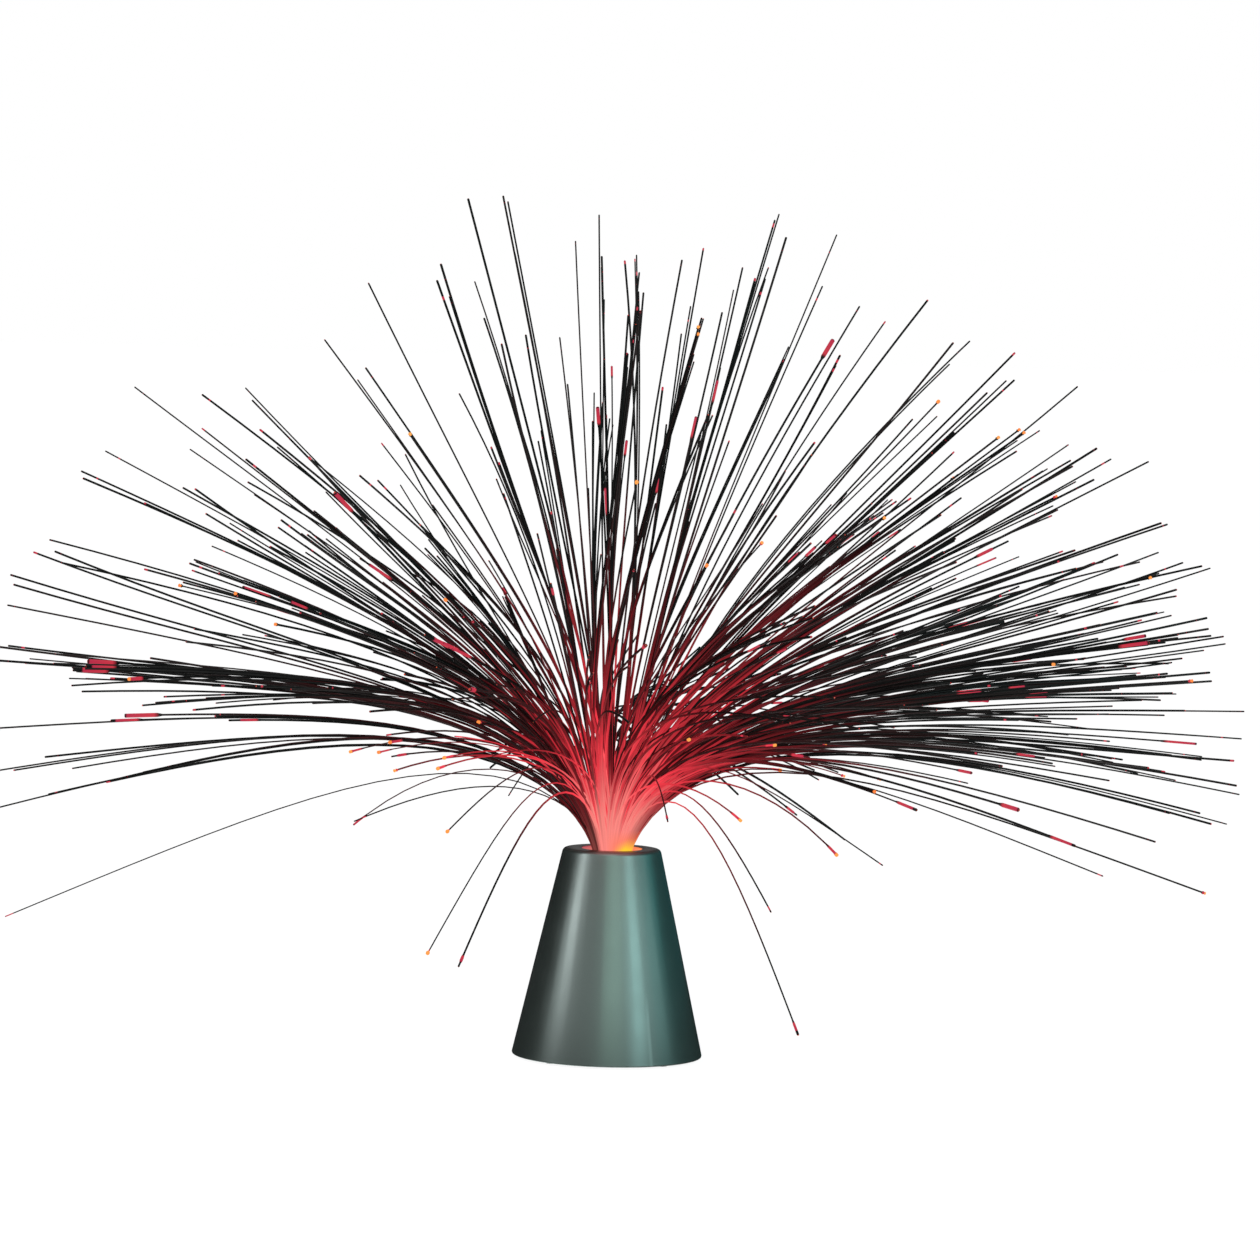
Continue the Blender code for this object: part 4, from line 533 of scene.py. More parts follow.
def fibre_body(settings):
    """Black sheathed fibre that glows near the bundle and along a short stretch by its tip."""
    colour = tuple(settings.body_colour)
    finish = Finish("fibre_body", colour, 0.38, Specular_IOR_Level=0.18)
    tint = finish.attribute("tint")
    shades = ((place, scaled(colour, share)) for place, share in ((0.0, 0.6), (0.6, 1.3), (1.0, 2.8)))
    shade = finish.ramp(tint, tuple(shades))
    finish.set("Roughness", finish.spread(finish.noise(700, 2), 0.3, 0.46))
    from_root, to_tip = finish.attribute("from_root"), finish.attribute("to_tip")
    near = finish.number("DIVIDE", from_root, finish.attribute("reach"), clamp=True)
    neck, glow = tuple(settings.neck_colour), tuple(settings.glow_colour)
    ember, tip = tuple(settings.ember_colour), tuple(settings.tip_colour)
    # Strands that shine stay saturated: their own grey gives way to the light inside.
    inner = finish.ramp(near, ((0.15, 0.8), (0.8, 0.0)))
    finish.set("Base Color", finish.mix(inner, shade, scaled(ember, 0.1)))
    light = finish.ramp(near, (
        (0.0, neck), (0.12, neck), (0.22, (1.0, 0.13, 0.14)), (0.33, glow), (0.46, scaled(glow, 0.62)),
        (0.62, scaled(glow, 0.24)), (0.82, scaled(ember, 0.6)), (1.0, (0, 0, 0)),
    ))
    # In the neck most strands shine alike, and beyond it each has its own level.
    beyond = finish.number("POWER", finish.number("DIVIDE", from_root, NECK_LENGTH, clamp=True), 1.5)
    level = finish.mix(beyond, finish.attribute("neck_level"), finish.attribute("level"))
    light = finish.mix(1.0, light, level, "MULTIPLY")
    close = finish.ramp(finish.number("DIVIDE", from_root, WARM_LENGTH), ((0.0, 1.0), (1.0, 0.0)))
    warmth = finish.number("MULTIPLY", close, finish.attribute("warm"))
    warm_light = finish.ramp(warmth, ((0.25, (1.0, 0.2, 0.07)), (0.75, tuple(settings.warm_colour))))
    light = finish.mix(finish.number("MULTIPLY", warmth, 1.7, clamp=True), light, warm_light)
    # A little red goes on further in most strands.
    tail = finish.ramp(tint, ((0.35, (0, 0, 0)), (0.8, scaled(ember, 0.12)), (1.0, scaled(ember, 0.3))))
    far = finish.ramp(finish.number("DIVIDE", from_root, LONGEST_FIBRE), ((0.35, 1.0), (0.65, 0.15)))
    light = finish.mix(1.0, light, finish.mix(1.0, tail, far, "MULTIPLY"), "ADD")
    past = finish.number("SUBTRACT", to_tip, finish.attribute("dark_end"))
    past = finish.number("DIVIDE", past, finish.attribute("lit_length"))
    stretch = finish.ramp(finish.spread(past, 0.25, 0.75),
                          ((0.26, 0.0), (0.29, 1.0), (0.66, 0.9), (0.74, 0.0)))
    tip_light = finish.ramp(finish.attribute("heat"), (
        (0.0, scaled(tip, 0.75)), (0.25, tip), (0.7, (1.0, 0.14, 0.15)), (1.0, (1.0, 0.32, 0.06)),
    ))
    # The light turns from red to crimson towards the fibre's end.
    crimson = (0.75, 0.65, 1.0)
    tip_light = finish.mix(1.0, tip_light, finish.ramp(past, ((0.1, crimson), (0.8, 1.0))), "MULTIPLY")
    finish.glow(finish.mix(1.0, light, finish.mix(1.0, stretch, tip_light, "MULTIPLY"), "ADD"))
    finish.material.cycles.emission_sampling = "NONE"
    return finish.material


def fibre_end(settings):
    """The polished end of a fibre, where its light comes out."""
    colour = tuple(settings.end_colour)
    finish = Finish("fibre_end", scaled(colour, 0.2), 0.2)
    finish.glow(finish.ramp(finish.attribute("spark"), (
        (0.0, (0.02, 0.0, 0.0)), (0.35, (0.5, 0.02, 0.02)), (0.75, colour), (1.0, (1.0, 0.4, 0.08)),
    )))
    finish.material.cycles.emission_sampling = "NONE"
    return finish.material


def potting(settings):
    """The cast face of the bundle between the fibres, lit from below."""
    neck, glow = tuple(settings.neck_colour), tuple(settings.glow_colour)
    finish = Finish("bundle_potting", scaled(neck, 0.4), 0.5)
    cloudy = finish.noise(900, 3, 0.6)
    finish.glow(finish.mix(cloudy, scaled(neck, 0.9), scaled(glow, 0.6)))
    finish.bump(cloudy, 0.05 * MM, 0.5)
    finish.material.cycles.emission_sampling = "NONE"
    return finish.material


def cell_jacket(name, settings, start, end):
    """Shrunk plastic jacket with a brassy band at the button's end, and bare steel at both ends."""
    colour = tuple(settings.jacket_colour)
    finish = Finish(name, colour, 0.28)
    along = finish.add("SeparateXYZ", {"Vector": finish.place}).outputs["X"]
    share = finish.number("DIVIDE", finish.number("SUBTRACT", along, start), end - start)
    film = finish.mix(finish.noise(120, 3, 0.5), scaled(colour, 0.85), scaled(colour, 1.15))
    band = finish.ramp(share, ((0.715, 0.0), (0.72, 1.0)))
    tone = finish.mix(band, film, tuple(settings.band_colour))
    bare = finish.ramp(share, ((0.008, 1.0), (0.014, 0.0), (0.968, 0.0), (0.974, 1.0)))
    finish.set("Base Color", finish.mix(bare, tone, tuple(settings.contact_colour)))
    finish.set("Metallic", finish.number("MAXIMUM", bare, finish.number("MULTIPLY", band, 0.7)))
    finish.set("Roughness", finish.spread(finish.noise(300, 4, 0.6), 0.22, 0.36))
    finish.bump(finish.noise(90, 2, 0.4), 0.05 * MM, 0.5)
    return finish.material


def board_lacquer(settings):
    """Green lacquer over the weave of the board, with faint copper runs showing through."""
    colour = tuple(settings.board_colour)
    finish = Finish("board_lacquer", colour, 0.32)
    weave = finish.add("TexWave", {"Vector": finish.place, "Scale": 420, "Distortion": 1.5, "Detail": 1})
    runs = finish.add("TexBrick", {
        "Vector": finish.place, "Scale": 260, "Color1": colour, "Color2": scaled(colour, 1.25),
        "Mortar": scaled(colour, 1.9), "Mortar Size": 0.03,
    })
    finish.set("Base Color", finish.mix(0.5, runs.outputs["Color"], colour))
    finish.bump(weave.outputs["Fac"], 0.02 * MM, 0.4)
    return finish.material


def led_lens():
    """Clear epoxy lens with the red of its chip glowing through."""
    finish = Finish("led_lens", (0.9, 0.75, 0.7), 0.08, Transmission_Weight=0.6)
    finish.glow(finish.mix(finish.noise(500, 2), (1.0, 0.12, 0.05), (0.9, 0.04, 0.03)), 0.8)
    return finish.material


def rubber(settings):
    """Soft rubber with a matt, slightly dusty skin."""
    colour = tuple(settings.rubber_colour)
    finish = Finish("foot_rubber", colour, 0.8)
    dust = finish.noise(350, 5, 0.7)
    finish.set("Base Color", finish.mix(finish.spread(dust, 0, 0.6), colour, (0.05, 0.048, 0.045)))
    finish.set("Roughness", finish.spread(dust, 0.72, 0.95))
    finish.bump(finish.noise(1500, 3, 0.7), 0.03 * MM, 0.8)
    return finish.material


# Making pieces


def body_of_node(node):
    return frame["nodes"][node].parent.name.removeprefix("body:")


def placed(name, mesh, body, materials):
    for material in materials:
        mesh.materials.append(material)
    piece = bpy.data.objects.new(name, mesh)
    bpy.context.scene.collection.objects.link(piece)
    if body:
        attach(piece, body)
    return piece


def smooth_skin(node, name, material, edge_angle):
    """A welded and smoothly shaded skin in the shape of a CAD node, which it replaces."""
    source = frame["nodes"][node]
    shape = bmesh.new()
    shape.from_mesh(source.data)
    bmesh.ops.remove_doubles(shape, verts=shape.verts, dist=WELD)
    mesh = bpy.data.meshes.new(name)
    shape.to_mesh(mesh)
    shape.free()
    mesh.materials.clear()
    mesh.shade_smooth()
    mesh.set_sharp_from_angle(angle=edge_angle)
    piece = placed(name, mesh, body_of_node(node), [material])
    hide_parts(node)
    return piece


def skins(nodes, suffix, material, edge_angle):
    return [smooth_skin(node, f"{node}_{suffix}", material, edge_angle) for node in nodes]


def nodes_named(*starts):
    return [node for node in sorted(frame["nodes"]) if node.startswith(starts)]


# Making the spray


def slice_places(inner, outer, azimuth, width, between=False):
    """Where a bunch's fibres stand in its slice, and how far each is from its middle.

    The places between them, where the extra fibres stand, are a half step further on.
    """
    places = []
    last_row = len(ROW_COUNTS) - 1
    shift = 0.5 if between else 0
    for row, count in enumerate(ROW_COUNTS[1 if between else 0:]):
        row += shift
        radius = inner + CELL_MARGIN + row / last_row * (outer - inner - 2 * CELL_MARGIN)
        half = width / 2 - CELL_MARGIN / radius
        across = (row - last_row / 2) / (last_row + 1)
        for column in range(count):
            turn = half * (2 * (column + shift) / (count - 1 + 2 * shift) - 1)
            places.append((radius, azimuth + turn, across, (column - (count - 1) / 2) / count))
    return places


def in_bundle(radius, turn):
    """A point on the bundle's top face."""
    return Vector((radius * math.cos(turn), radius * math.sin(turn), ROOT_TOP_Z))


def fibre_route(place, lean, azimuth, lean_span, width, length, droop_degrees=DROOP_DEGREES):
    """Points about 2 mm apart along a fibre, which bends out of the bundle and droops with its weight."""
    radius, start_azimuth, across, around = place
    point = in_bundle(radius, start_azimuth)
    start_lean = START_LEAN_DEGREES * radius / BUNDLE_RADIUS
    count = round(length / ROUTE_STEP)
    step = length / count
    points = [point.copy()]
    for i in range(count):
        along = (i + 0.5) * step
        spread = NEAR_SHARE + (FAR_SHARE - NEAR_SHARE) * along / LONGEST_FIBRE
        far_lean = lean + across * lean_span * spread
        far_azimuth = azimuth + around * width * spread
        bent = 1 - math.exp(-along / BEND_LENGTH)
        droop = droop_degrees * math.sin(math.radians(far_lean)) * (1 - (1 - along / LONGEST_FIBRE) ** 3)
        now_lean = math.radians(start_lean + (far_lean - start_lean + droop) * bent)
        now_azimuth = start_azimuth + (far_azimuth - start_azimuth) * bent
        flat = math.sin(now_lean)
        heading = (flat * math.cos(now_azimuth), flat * math.sin(now_azimuth), math.cos(now_lean))
        point += step * Vector(heading)
        points.append(point.copy())
    return points


def solid_routes():
    """Every bunch of the solids as its slice and its fibres' routes, in the solids' own order."""
    chance = random.Random(SPRAY_SEED)
    bunches = []

    def routes(places, lean, azimuth, lean_span, width):
        found = []
        for radius, start, across, around in places:
            across += chance.uniform(-JITTER_SHARE, JITTER_SHARE)
            around += chance.uniform(-JITTER_SHARE, JITTER_SHARE)
            shortening = (1 - SHORTEST_SHARE) * chance.random() ** SHORTNESS_POWER
            place = (radius, start, across, around)
            own_azimuth = start if azimuth is None else azimuth
            length = LONGEST_FIBRE * (1 - shortening)
            found.append(fibre_route(place, lean, own_azimuth, lean_span, width, length))
        return found

    centre = []
    upright = zip(UPRIGHT_RING_SHARES, UPRIGHT_RING_COUNTS, UPRIGHT_RING_DEGREES)
    for ring, (share, count, lean) in enumerate(upright):
        turns = [(i + ring / 2) * FULL_TURN / count for i in range(count)]
        places = [(share * CENTRE_RADIUS, turn, 0, 0) for turn in turns]
        centre += routes(places, lean, None, 0, 0)
    bunches.append(("centre", (0, CENTRE_RADIUS, 0, FULL_TURN), centre))
    for ring, table, inner, outer in bunch_rings():
        width = FULL_TURN / len(table)
        for index, (lean, azimuth) in enumerate(table):
            sector = (inner, outer, index * width, width)
            found = routes(slice_places(*sector), lean, math.radians(azimuth), LEAN_SPAN_DEGREES, width)
            bunches.append((f"{ring}_{index + 1:02d}", sector, found))
    return bunches


def bunch_rings():
    return (
        ("inner", INNER_BUNCHES, CENTRE_RADIUS, MIDDLE_RADIUS),
        ("outer", OUTER_BUNCHES, MIDDLE_RADIUS, BUNDLE_RADIUS),
    )


def leaning(lead, root, length, chance, settings):
    """A fibre from its own root that leans on another one and parts from it again towards its end."""
    touch = any_direction(chance) * settings.touch_distance
    wayward = WAYWARD_SPLAY if chance.random() < WAYWARD_CHANCE else 1
    splay = any_direction(chance) * settings.splay_distance * wayward * chance.random() ** 2
    points = []
    for i in range(min(round(length / ROUTE_STEP), len(lead) - 1) + 1):
        along = i * ROUTE_STEP
        apart = math.exp(-along / BEND_LENGTH)
        beside = lead[i] + apart * (root - lead[0]) + (1 - apart) * touch
        points.append(beside + (along / LONGEST_FIBRE) ** 3 * splay)
    points[0].z = ROOT_TOP_Z
    return points


def any_direction(chance):
    turn, z = chance.uniform(0, FULL_TURN), chance.uniform(-1, 1)
    flat = math.sqrt(1 - z * z)
    return Vector((flat * math.cos(turn), flat * math.sin(turn), z))


def loose_wisps(sector, heading, chance, settings):
    """The loose fibres of a slice, which lean on each other in wisps of up to six."""
    places = sorted(slice_places(*sector, between=True), key=lambda place: place[1])
    found = []
    while places:
        count = chance.randint(3, 6)
        members, places = places[:count], places[count:]
        gather = settings.loose_gather
        across, around = (
            gather * sum(place[i] for place in members) / len(members) + chance.uniform(-0.3, 0.3)
            for i in (2, 3)
        )
        span = settings.loose_longest - settings.loose_shortest
        share = settings.loose_longest - span * chance.random() ** 2
        first = (members[0][0], members[0][1], across, around)
        lean, azimuth = heading[0] - settings.lift_degrees, math.radians(heading[1])
        droop = DROOP_DEGREES + LIFT_DROOP_SHARE * settings.lift_degrees
        lead = fibre_route(first, lean, azimuth, LEAN_SPAN_DEGREES, sector[3], LONGEST_FIBRE, droop)
        for radius, turn, *_ in members:
            length = LONGEST_FIBRE * min(settings.loose_longest, share * chance.uniform(0.92, 1.05))
            found.append(leaning(lead, in_bundle(radius, turn), length, chance, settings))
    return found


def loose_routes(name, sector, solid, settings):
    """Every fibre of a bunch that the solids leave out."""
    chance = random.Random(f"loose {name}")
    found = []
    for lead in solid:
        if chance.random() < settings.companion_share:
            turn = chance.uniform(0, FULL_TURN)
            root = lead[0] + COMPANION_OFFSET * Vector((math.cos(turn), math.sin(turn), 0))
            length = (len(lead) - 1) * ROUTE_STEP * chance.uniform(0.82, 1)
            found.append(leaning(lead, root, length, chance, settings))
    tables = (("inner", INNER_LOOSE), ("outer", OUTER_LOOSE))
    headings = {f"{ring}_{i + 1:02d}": heading for ring, table in tables for i, heading in enumerate(table)}
    if name in headings:
        found += loose_wisps(sector, headings[name], chance, settings)
    return found


def front_routes(name, sector, settings):
    """The short fibres that arch over the front, and the strays that hang there."""
    chance = random.Random(f"front {name}")
    found = []
    middle = math.degrees(sector[2]) % 360
    if name.startswith("outer") and ARC_SLICES[0] < middle < ARC_SLICES[1]:
        for _ in range(settings.front_arcs):
            root_azimuth = middle + chance.uniform(-ARC_ROOT_TURN, ARC_ROOT_TURN)
            # Arcs fall to the side that they stand on, and some near the middle to the other.
            sideways = chance.uniform(*ARC_SIDEWAYS)
            side = root_azimuth - FRONT_AZIMUTH + chance.uniform(-ARC_SIDE_BLUR, ARC_SIDE_BLUR)
            heading = clamped(root_azimuth + math.copysign(sideways, side), *ARC_HEADINGS)
            place = (BUNDLE_RADIUS * chance.uniform(*ARC_ROOT_SHARES), math.radians(root_azimuth), 0, 0)
            length = LONGEST_FIBRE * chance.uniform(*ARC_LENGTH_SHARES)
            lean, droop = chance.uniform(*ARC_LEANS), chance.uniform(*ARC_DROOPS)
            found.append(fibre_route(place, lean, math.radians(heading), 0, 0, length, droop))
    for slice_name, lean, azimuth, share, root_azimuth in STRAYS:
        if slice_name == name:
            place = (STRAY_ROOT_SHARE * BUNDLE_RADIUS, math.radians(root_azimuth), 0, 0)
            found.append(fibre_route(place, lean, math.radians(azimuth), 0, 0, LONGEST_FIBRE * share))
    return found


def kept_inside(route):
    """The part of a route that stays inside the box of the solids."""
    low, high = CAD_BOX
    for count, point in enumerate(route):
        if any(not a + WIDEST_FIBRE < b < c - WIDEST_FIBRE for a, b, c in zip(low, point, high)):
            return route[:count]
    return route


def strand_rings(route, settings, facts, bead):
    """Distance along the fibre and radius of each ring from its root to its end."""
    length = (len(route) - 1) * ROUTE_STEP
    thick = settings.strand_radius * facts["thickness"]
    lit_end, lit_start = length - facts["dark_end"], length - facts["dark_end"] - facts["lit_length"]
    rings = []
    for i in range(settings.strand_rings):
        along = length * (i / settings.strand_rings) ** RING_CROWDING
        if along > lit_start - 3 * LIT_STEP:
            break
        swell = min(1, along / settings.swell_length)
        rings.append((along, settings.root_radius + (thick - settings.root_radius) * swell))
    bright = thick * (facts["lit_swell"] if facts["lit_length"] > SHORTEST_SWOLLEN else 1)
    rings += [(lit_start - LIT_STEP, thick), (lit_start + LIT_STEP, bright)]
    if facts["dark_end"] > 2 * LIT_STEP:
        rings += [(lit_end - LIT_STEP, bright), (lit_end, thick), (length - 0.25 * MM, thick)]
    else:
        bead = max(bead, bright)
        rings += [(length - 1.8 * MM, bright), (length - 1.2 * MM, bead), (length - 0.3 * MM, bead)]
    rings = [(along, radius) for along, radius in rings if along < length - 0.2 * MM]
    rings.append((length, END_SHARE * rings[-1][1]))
    rings.sort()
    return rings


def route_point(route, along, length):
    at = clamped(along / length) * (len(route) - 1)
    low = min(int(at), len(route) - 2)
    return route[low].lerp(route[low + 1], at - low)


def map_ring(count, v, height):
    """A ring of places in the material's map, round the middle of a strip."""
    turns = [FULL_TURN * i / count for i in range(count)]
    return [(0.5 + 0.4 * math.cos(turn), v + height * math.sin(turn)) for turn in turns]


class StrandMesh:
    """Gathers the fibres of one bunch with the values that light them, then makes one mesh of them.

    Each fibre has a strip of the material's map to itself, and the slice has the last strip.
    """

    FACTS = (
        "from_root", "to_tip", "reach", "neck_level", "level", "warm",
        "dark_end", "lit_length", "tint", "heat", "spark",
    )

    def __init__(self, strand_count):
        self.points, self.faces, self.slots, self.map = [], [], [], []
        self.facts = {name: [] for name in self.FACTS}
        self.strips = strand_count + 1
        self.strip = 0

    def point(self, place, **facts):
        self.points.append(place)
        for name in self.FACTS:
            self.facts[name].append(facts.get(name, 0.0))
        return len(self.points) - 1

    def face(self, corners, places, slot):
        self.faces.append(corners)
        self.map += [((self.strip + u) / self.strips, v) for u, v in places]
        self.slots.append(slot)

    def strand(self, route, settings, facts, bead):
        length = (len(route) - 1) * ROUTE_STEP
        sides = settings.strand_sides
        rings = strand_rings(route, settings, facts, bead)
        centres = [route_point(route, along, length) for along, _ in rings]
        side = Vector((1, 0, 0))
        made = []
        for i, ((along, radius), centre) in enumerate(zip(rings, centres)):
            ahead = (centres[min(i + 1, len(centres) - 1)] - centres[max(i - 1, 0)]).normalized()
            side = (side - ahead * side.dot(ahead)).normalized()
            other = ahead.cross(side)
            turns = [FULL_TURN * k / sides for k in range(sides)]
            own = dict(facts, from_root=along, to_tip=length - along)
            corners = [centre + radius * (math.cos(turn) * side + math.sin(turn) * other) for turn in turns]
            made.append([self.point(corner, **own) for corner in corners])
        for i, (low, high) in enumerate(zip(made, made[1:])):
            v_low, v_high = (0.98 * rings[j][0] / LONGEST_FIBRE for j in (i, i + 1))
            slot = END_SLOT if i >= len(made) - 3 and facts["spark"] > SHINING else BODY_SLOT
            for k in range(sides):
                after = (k + 1) % sides
                u_low, u_high = 0.05 + 0.9 * k / sides, 0.05 + 0.9 * (k + 1) / sides
                self.face((low[k], low[after], high[after], high[k]),
                          ((u_low, v_low), (u_high, v_low), (u_high, v_high), (u_low, v_high)), slot)
        self.face(tuple(made[-1]), map_ring(sides, 0.99, 0.008), END_SLOT)
        self.strip += 1

    def slice(self, sector):
        """The bunch's slice of the potted bundle."""
        inner, outer, azimuth, width = sector
        inset = SLICE_GAP / 2
        if inner:
            edge = outer if outer == BUNDLE_RADIUS else outer - inset
            outline = []
            for radius, sign in ((inner + inset, 1), (edge, -1)):
                half = width / 2 - inset / radius
                outline += [(radius, azimuth - sign * half + sign * 2 * half * i / 8) for i in range(9)]
            outline.reverse()
        else:
            outline = [(outer - inset, FULL_TURN * i / 20) for i in range(20)]
        low, high = [], []
        for radius, turn in outline:
            x, y = radius * math.cos(turn), radius * math.sin(turn)
            low.append(self.point(Vector((x, y, ROOT_BOTTOM_Z))))
            high.append(self.point(Vector((x, y, ROOT_TOP_Z))))
        count = len(outline)
        flat = map_ring(count, 0.25, 0.2)
        self.face(tuple(high), flat, POTTING_SLOT)
        self.face(tuple(reversed(low)), [(u, v + 0.5) for u, v in reversed(flat)], POTTING_SLOT)
        for i in range(count):
            after = (i + 1) % count
            u_low, u_high = i / count, (i + 1) / count
            self.face((low[i], low[after], high[after], high[i]),
                      ((u_low, 0.96), (u_high, 0.96), (u_high, 0.99), (u_low, 0.99)), POTTING_SLOT)

    def mesh(self, name):
        mesh = bpy.data.meshes.new(name)
        mesh.from_pydata(self.points, [], self.faces)
        for fact, values in self.facts.items():
            mesh.attributes.new(fact, "FLOAT", "POINT").data.foreach_set("value", values)
        layer = mesh.uv_layers.new(name="OFBake")
        layer.data.foreach_set("uv", [value for pair in self.map for value in pair])
        mesh.polygons.foreach_set("material_index", self.slots)
        mesh.shade_smooth()
        mesh.set_sharp_from_angle(angle=END_EDGE_ANGLE)
        return mesh


def strand_facts(route, chance, settings):
    """How one fibre is lit, from where it stands in the bundle and which way its end points."""
    root, tip = route[0], route[-1]
    heading = (tip - route[-4]).normalized()
    across = root.x / BUNDLE_RADIUS
    nearer = -root.y / BUNDLE_RADIUS
    # The low fibres at the sides of the neck stay dark, most of all on the left.
    low = clamped(3.5 - 5 * (tip.z - root.z) / (tip - root).length)
    left = low * clamped((-across - 0.5) / 0.2)
    right = low * clamped((across - 0.5) / 0.3)
    share = chance.uniform(0.25, 1.35) + 0.3 * nearer
    level = chance.uniform(0.05, 0.25) if chance.random() < 0.25 else chance.uniform(0.55, 1.05)
    neck_level = (1 - 0.1 * chance.random()) * (1 - left * chance.uniform(0.8, 0.98)) * (1 - 0.5 * right)
    # Low fibres in front glow furthest, and so do most of one band on the right, but more faintly.
    if nearer > 0.3 and tip.z < ROOT_TOP_Z + LOW_TIP_HEIGHT:
        share, level = max(share, chance.uniform(0.9, 1.3)), chance.uniform(0.7, 1)
    turn = math.degrees(math.atan2(tip.x - root.x, tip.z - root.z))
    if FAR_BAND[0] < turn < FAR_BAND[1] and nearer > -0.5 and chance.random() < FAR_BAND_CHANCE:
        share, level, right = chance.uniform(1.3, 1.7), chance.uniform(0.35, 0.6), 0
    share *= 1 - left * clamped(0.9 - nearer, 0, 0.6) - 0.3 * right
    level *= (1 - left * (0.93 if nearer < 0.7 else 0.3)) * (1 - right * (0.8 if nearer < 0.7 else 0.3))
    # Fibres that end near each other are lit alike, and few of the longest ones are.
    rare = settings.patch_threshold + max(0, 2.2 * len(route) * ROUTE_STEP / LONGEST_FIBRE - 1.8)
    lit = noise.noise(tip / settings.patch_size) + chance.uniform(-0.1, 0.1) > rare
    if -heading.y > SPARK_FACING and chance.random() < SPARK_CHANCE:
        spark = 0.75 + 0.25 * chance.random()
    else:
        spark = 0.5 * chance.random()
    return {
        "reach": settings.glow_reach * max(0.16, share),
        "dark_end": 0.0 if spark > SHINING else max(0, chance.uniform(-7, 8)) * MM,
        "lit_length": (chance.uniform(7, 14) if lit else max(0.1, chance.uniform(-3, 2))) * MM,
        "thickness": chance.uniform(0.72, 1.24),
        "lit_swell": chance.uniform(1.2, 2.1),
        "tint": chance.random(),
        "heat": chance.random(),
        "neck_level": neck_level,
        "level": level,
        "warm": clamped(0.35 + 1.1 * across) * (0.75 + 0.25 * nearer),
        "spark": spark,
    }


def front_facts(chance):
    """What differs in how a fibre of the front is lit."""
    facts = {
        "thickness": chance.uniform(0.65, 1),
        "heat": chance.uniform(0.6, 1),
        "lit_swell": FRONT_LIT_SWELL,
        "lit_length": chance.uniform(1, 6) * MM,
        "dark_end": max(0, chance.uniform(-4, 6)) * MM,
    }
    if chance.random() < FRONT_SPARK_CHANCE:
        facts.update(spark=chance.uniform(0.8, 1), dark_end=0.0)
    return facts


# Operators


class FIBRELAMP_OT_make_base(bpy.types.Operator):
    """Make the painted base, its mouth's glowing ring and the tube round the bundle"""

    bl_idname = "fibre_lamp.make_base"
    bl_label = "Make the base"

    def execute(self, context):
        settings = context.scene.fibre_lamp_base
        angle = settings.edge_degrees
        skins(["base_shell"], "painted", satin_silver(settings), angle)
        skins(["glow_collar"], "lit", glowing_collar(settings), angle)
        tube = moulded_plastic("ferrule_plastic", (0.03, 0.012, 0.012), 0.35)
        skins(["fibre_ferrule"], "moulded", tube, angle)
        return {"FINISHED"}


class FIBRELAMP_OT_make_spray(bpy.types.Operator):
    """Make the spray of fibres, one piece for each bunch of the solids"""

    bl_idname = "fibre_lamp.make_spray"
    bl_label = "Make the spray"

    def execute(self, context):
        settings = context.scene.fibre_lamp_spray
        materials = [fibre_body(settings), fibre_end(settings), potting(settings)]
        for name, sector, routes in solid_routes():
            front = []
            if settings.loose_fibres:
                routes = routes + loose_routes(name, sector, routes, settings)
                front = front_routes(name, sector, settings)
            chance = random.Random(f"light {name}")
            bunch = StrandMesh(len(routes) + len(front))
            for index, route in enumerate(map(kept_inside, routes + front)):
                facts = strand_facts(route, chance, settings)
                if index >= len(routes):
                    facts.update(front_facts(chance))
                bead = BEAD_RADIUS if facts["spark"] > SHINING else 0.0
                bunch.strand(route, settings, facts, bead)
            bunch.slice(sector)
            piece = placed(f"fibre_spray_{name}", bunch.mesh(f"fibre_spray_{name}"), "lamp", materials)
            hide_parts(f"fibre_bunch_{name}")
        return {"FINISHED"}


class FIBRELAMP_OT_make_underside(bpy.types.Operator):
    """Make the plate under the base with its door, feet, screws and switch knob"""

    bl_idname = "fibre_lamp.make_underside"
    bl_label = "Make the underside"

    def execute(self, context):
        settings = context.scene.fibre_lamp_underside
        angle = context.scene.fibre_lamp_base.edge_degrees
        dark = tuple(settings.plate_colour)
        plastic = moulded_plastic("plate_plastic", dark, 0.5)
        door = moulded_plastic("door_plastic", scaled(dark, 1.15), 0.46, 1300, 0.02 * MM)
        knob = moulded_plastic("knob_plastic", scaled(dark, 0.8), 0.34, 2000, 0.01 * MM)
        plating = plated_metal("screw_plating", tuple(settings.screw_colour))
        skins(["base_plate"], "moulded", plastic, angle)
        skins(["battery_door"], "moulded", door, angle)
        skins(["switch_slider"], "moulded", knob, angle)
        skins(nodes_named("foot_"), "rubber", rubber(settings), angle)
        skins([*nodes_named("base_screw"), "battery_door_screw"], "plated", plating, angle)
        return {"FINISHED"}


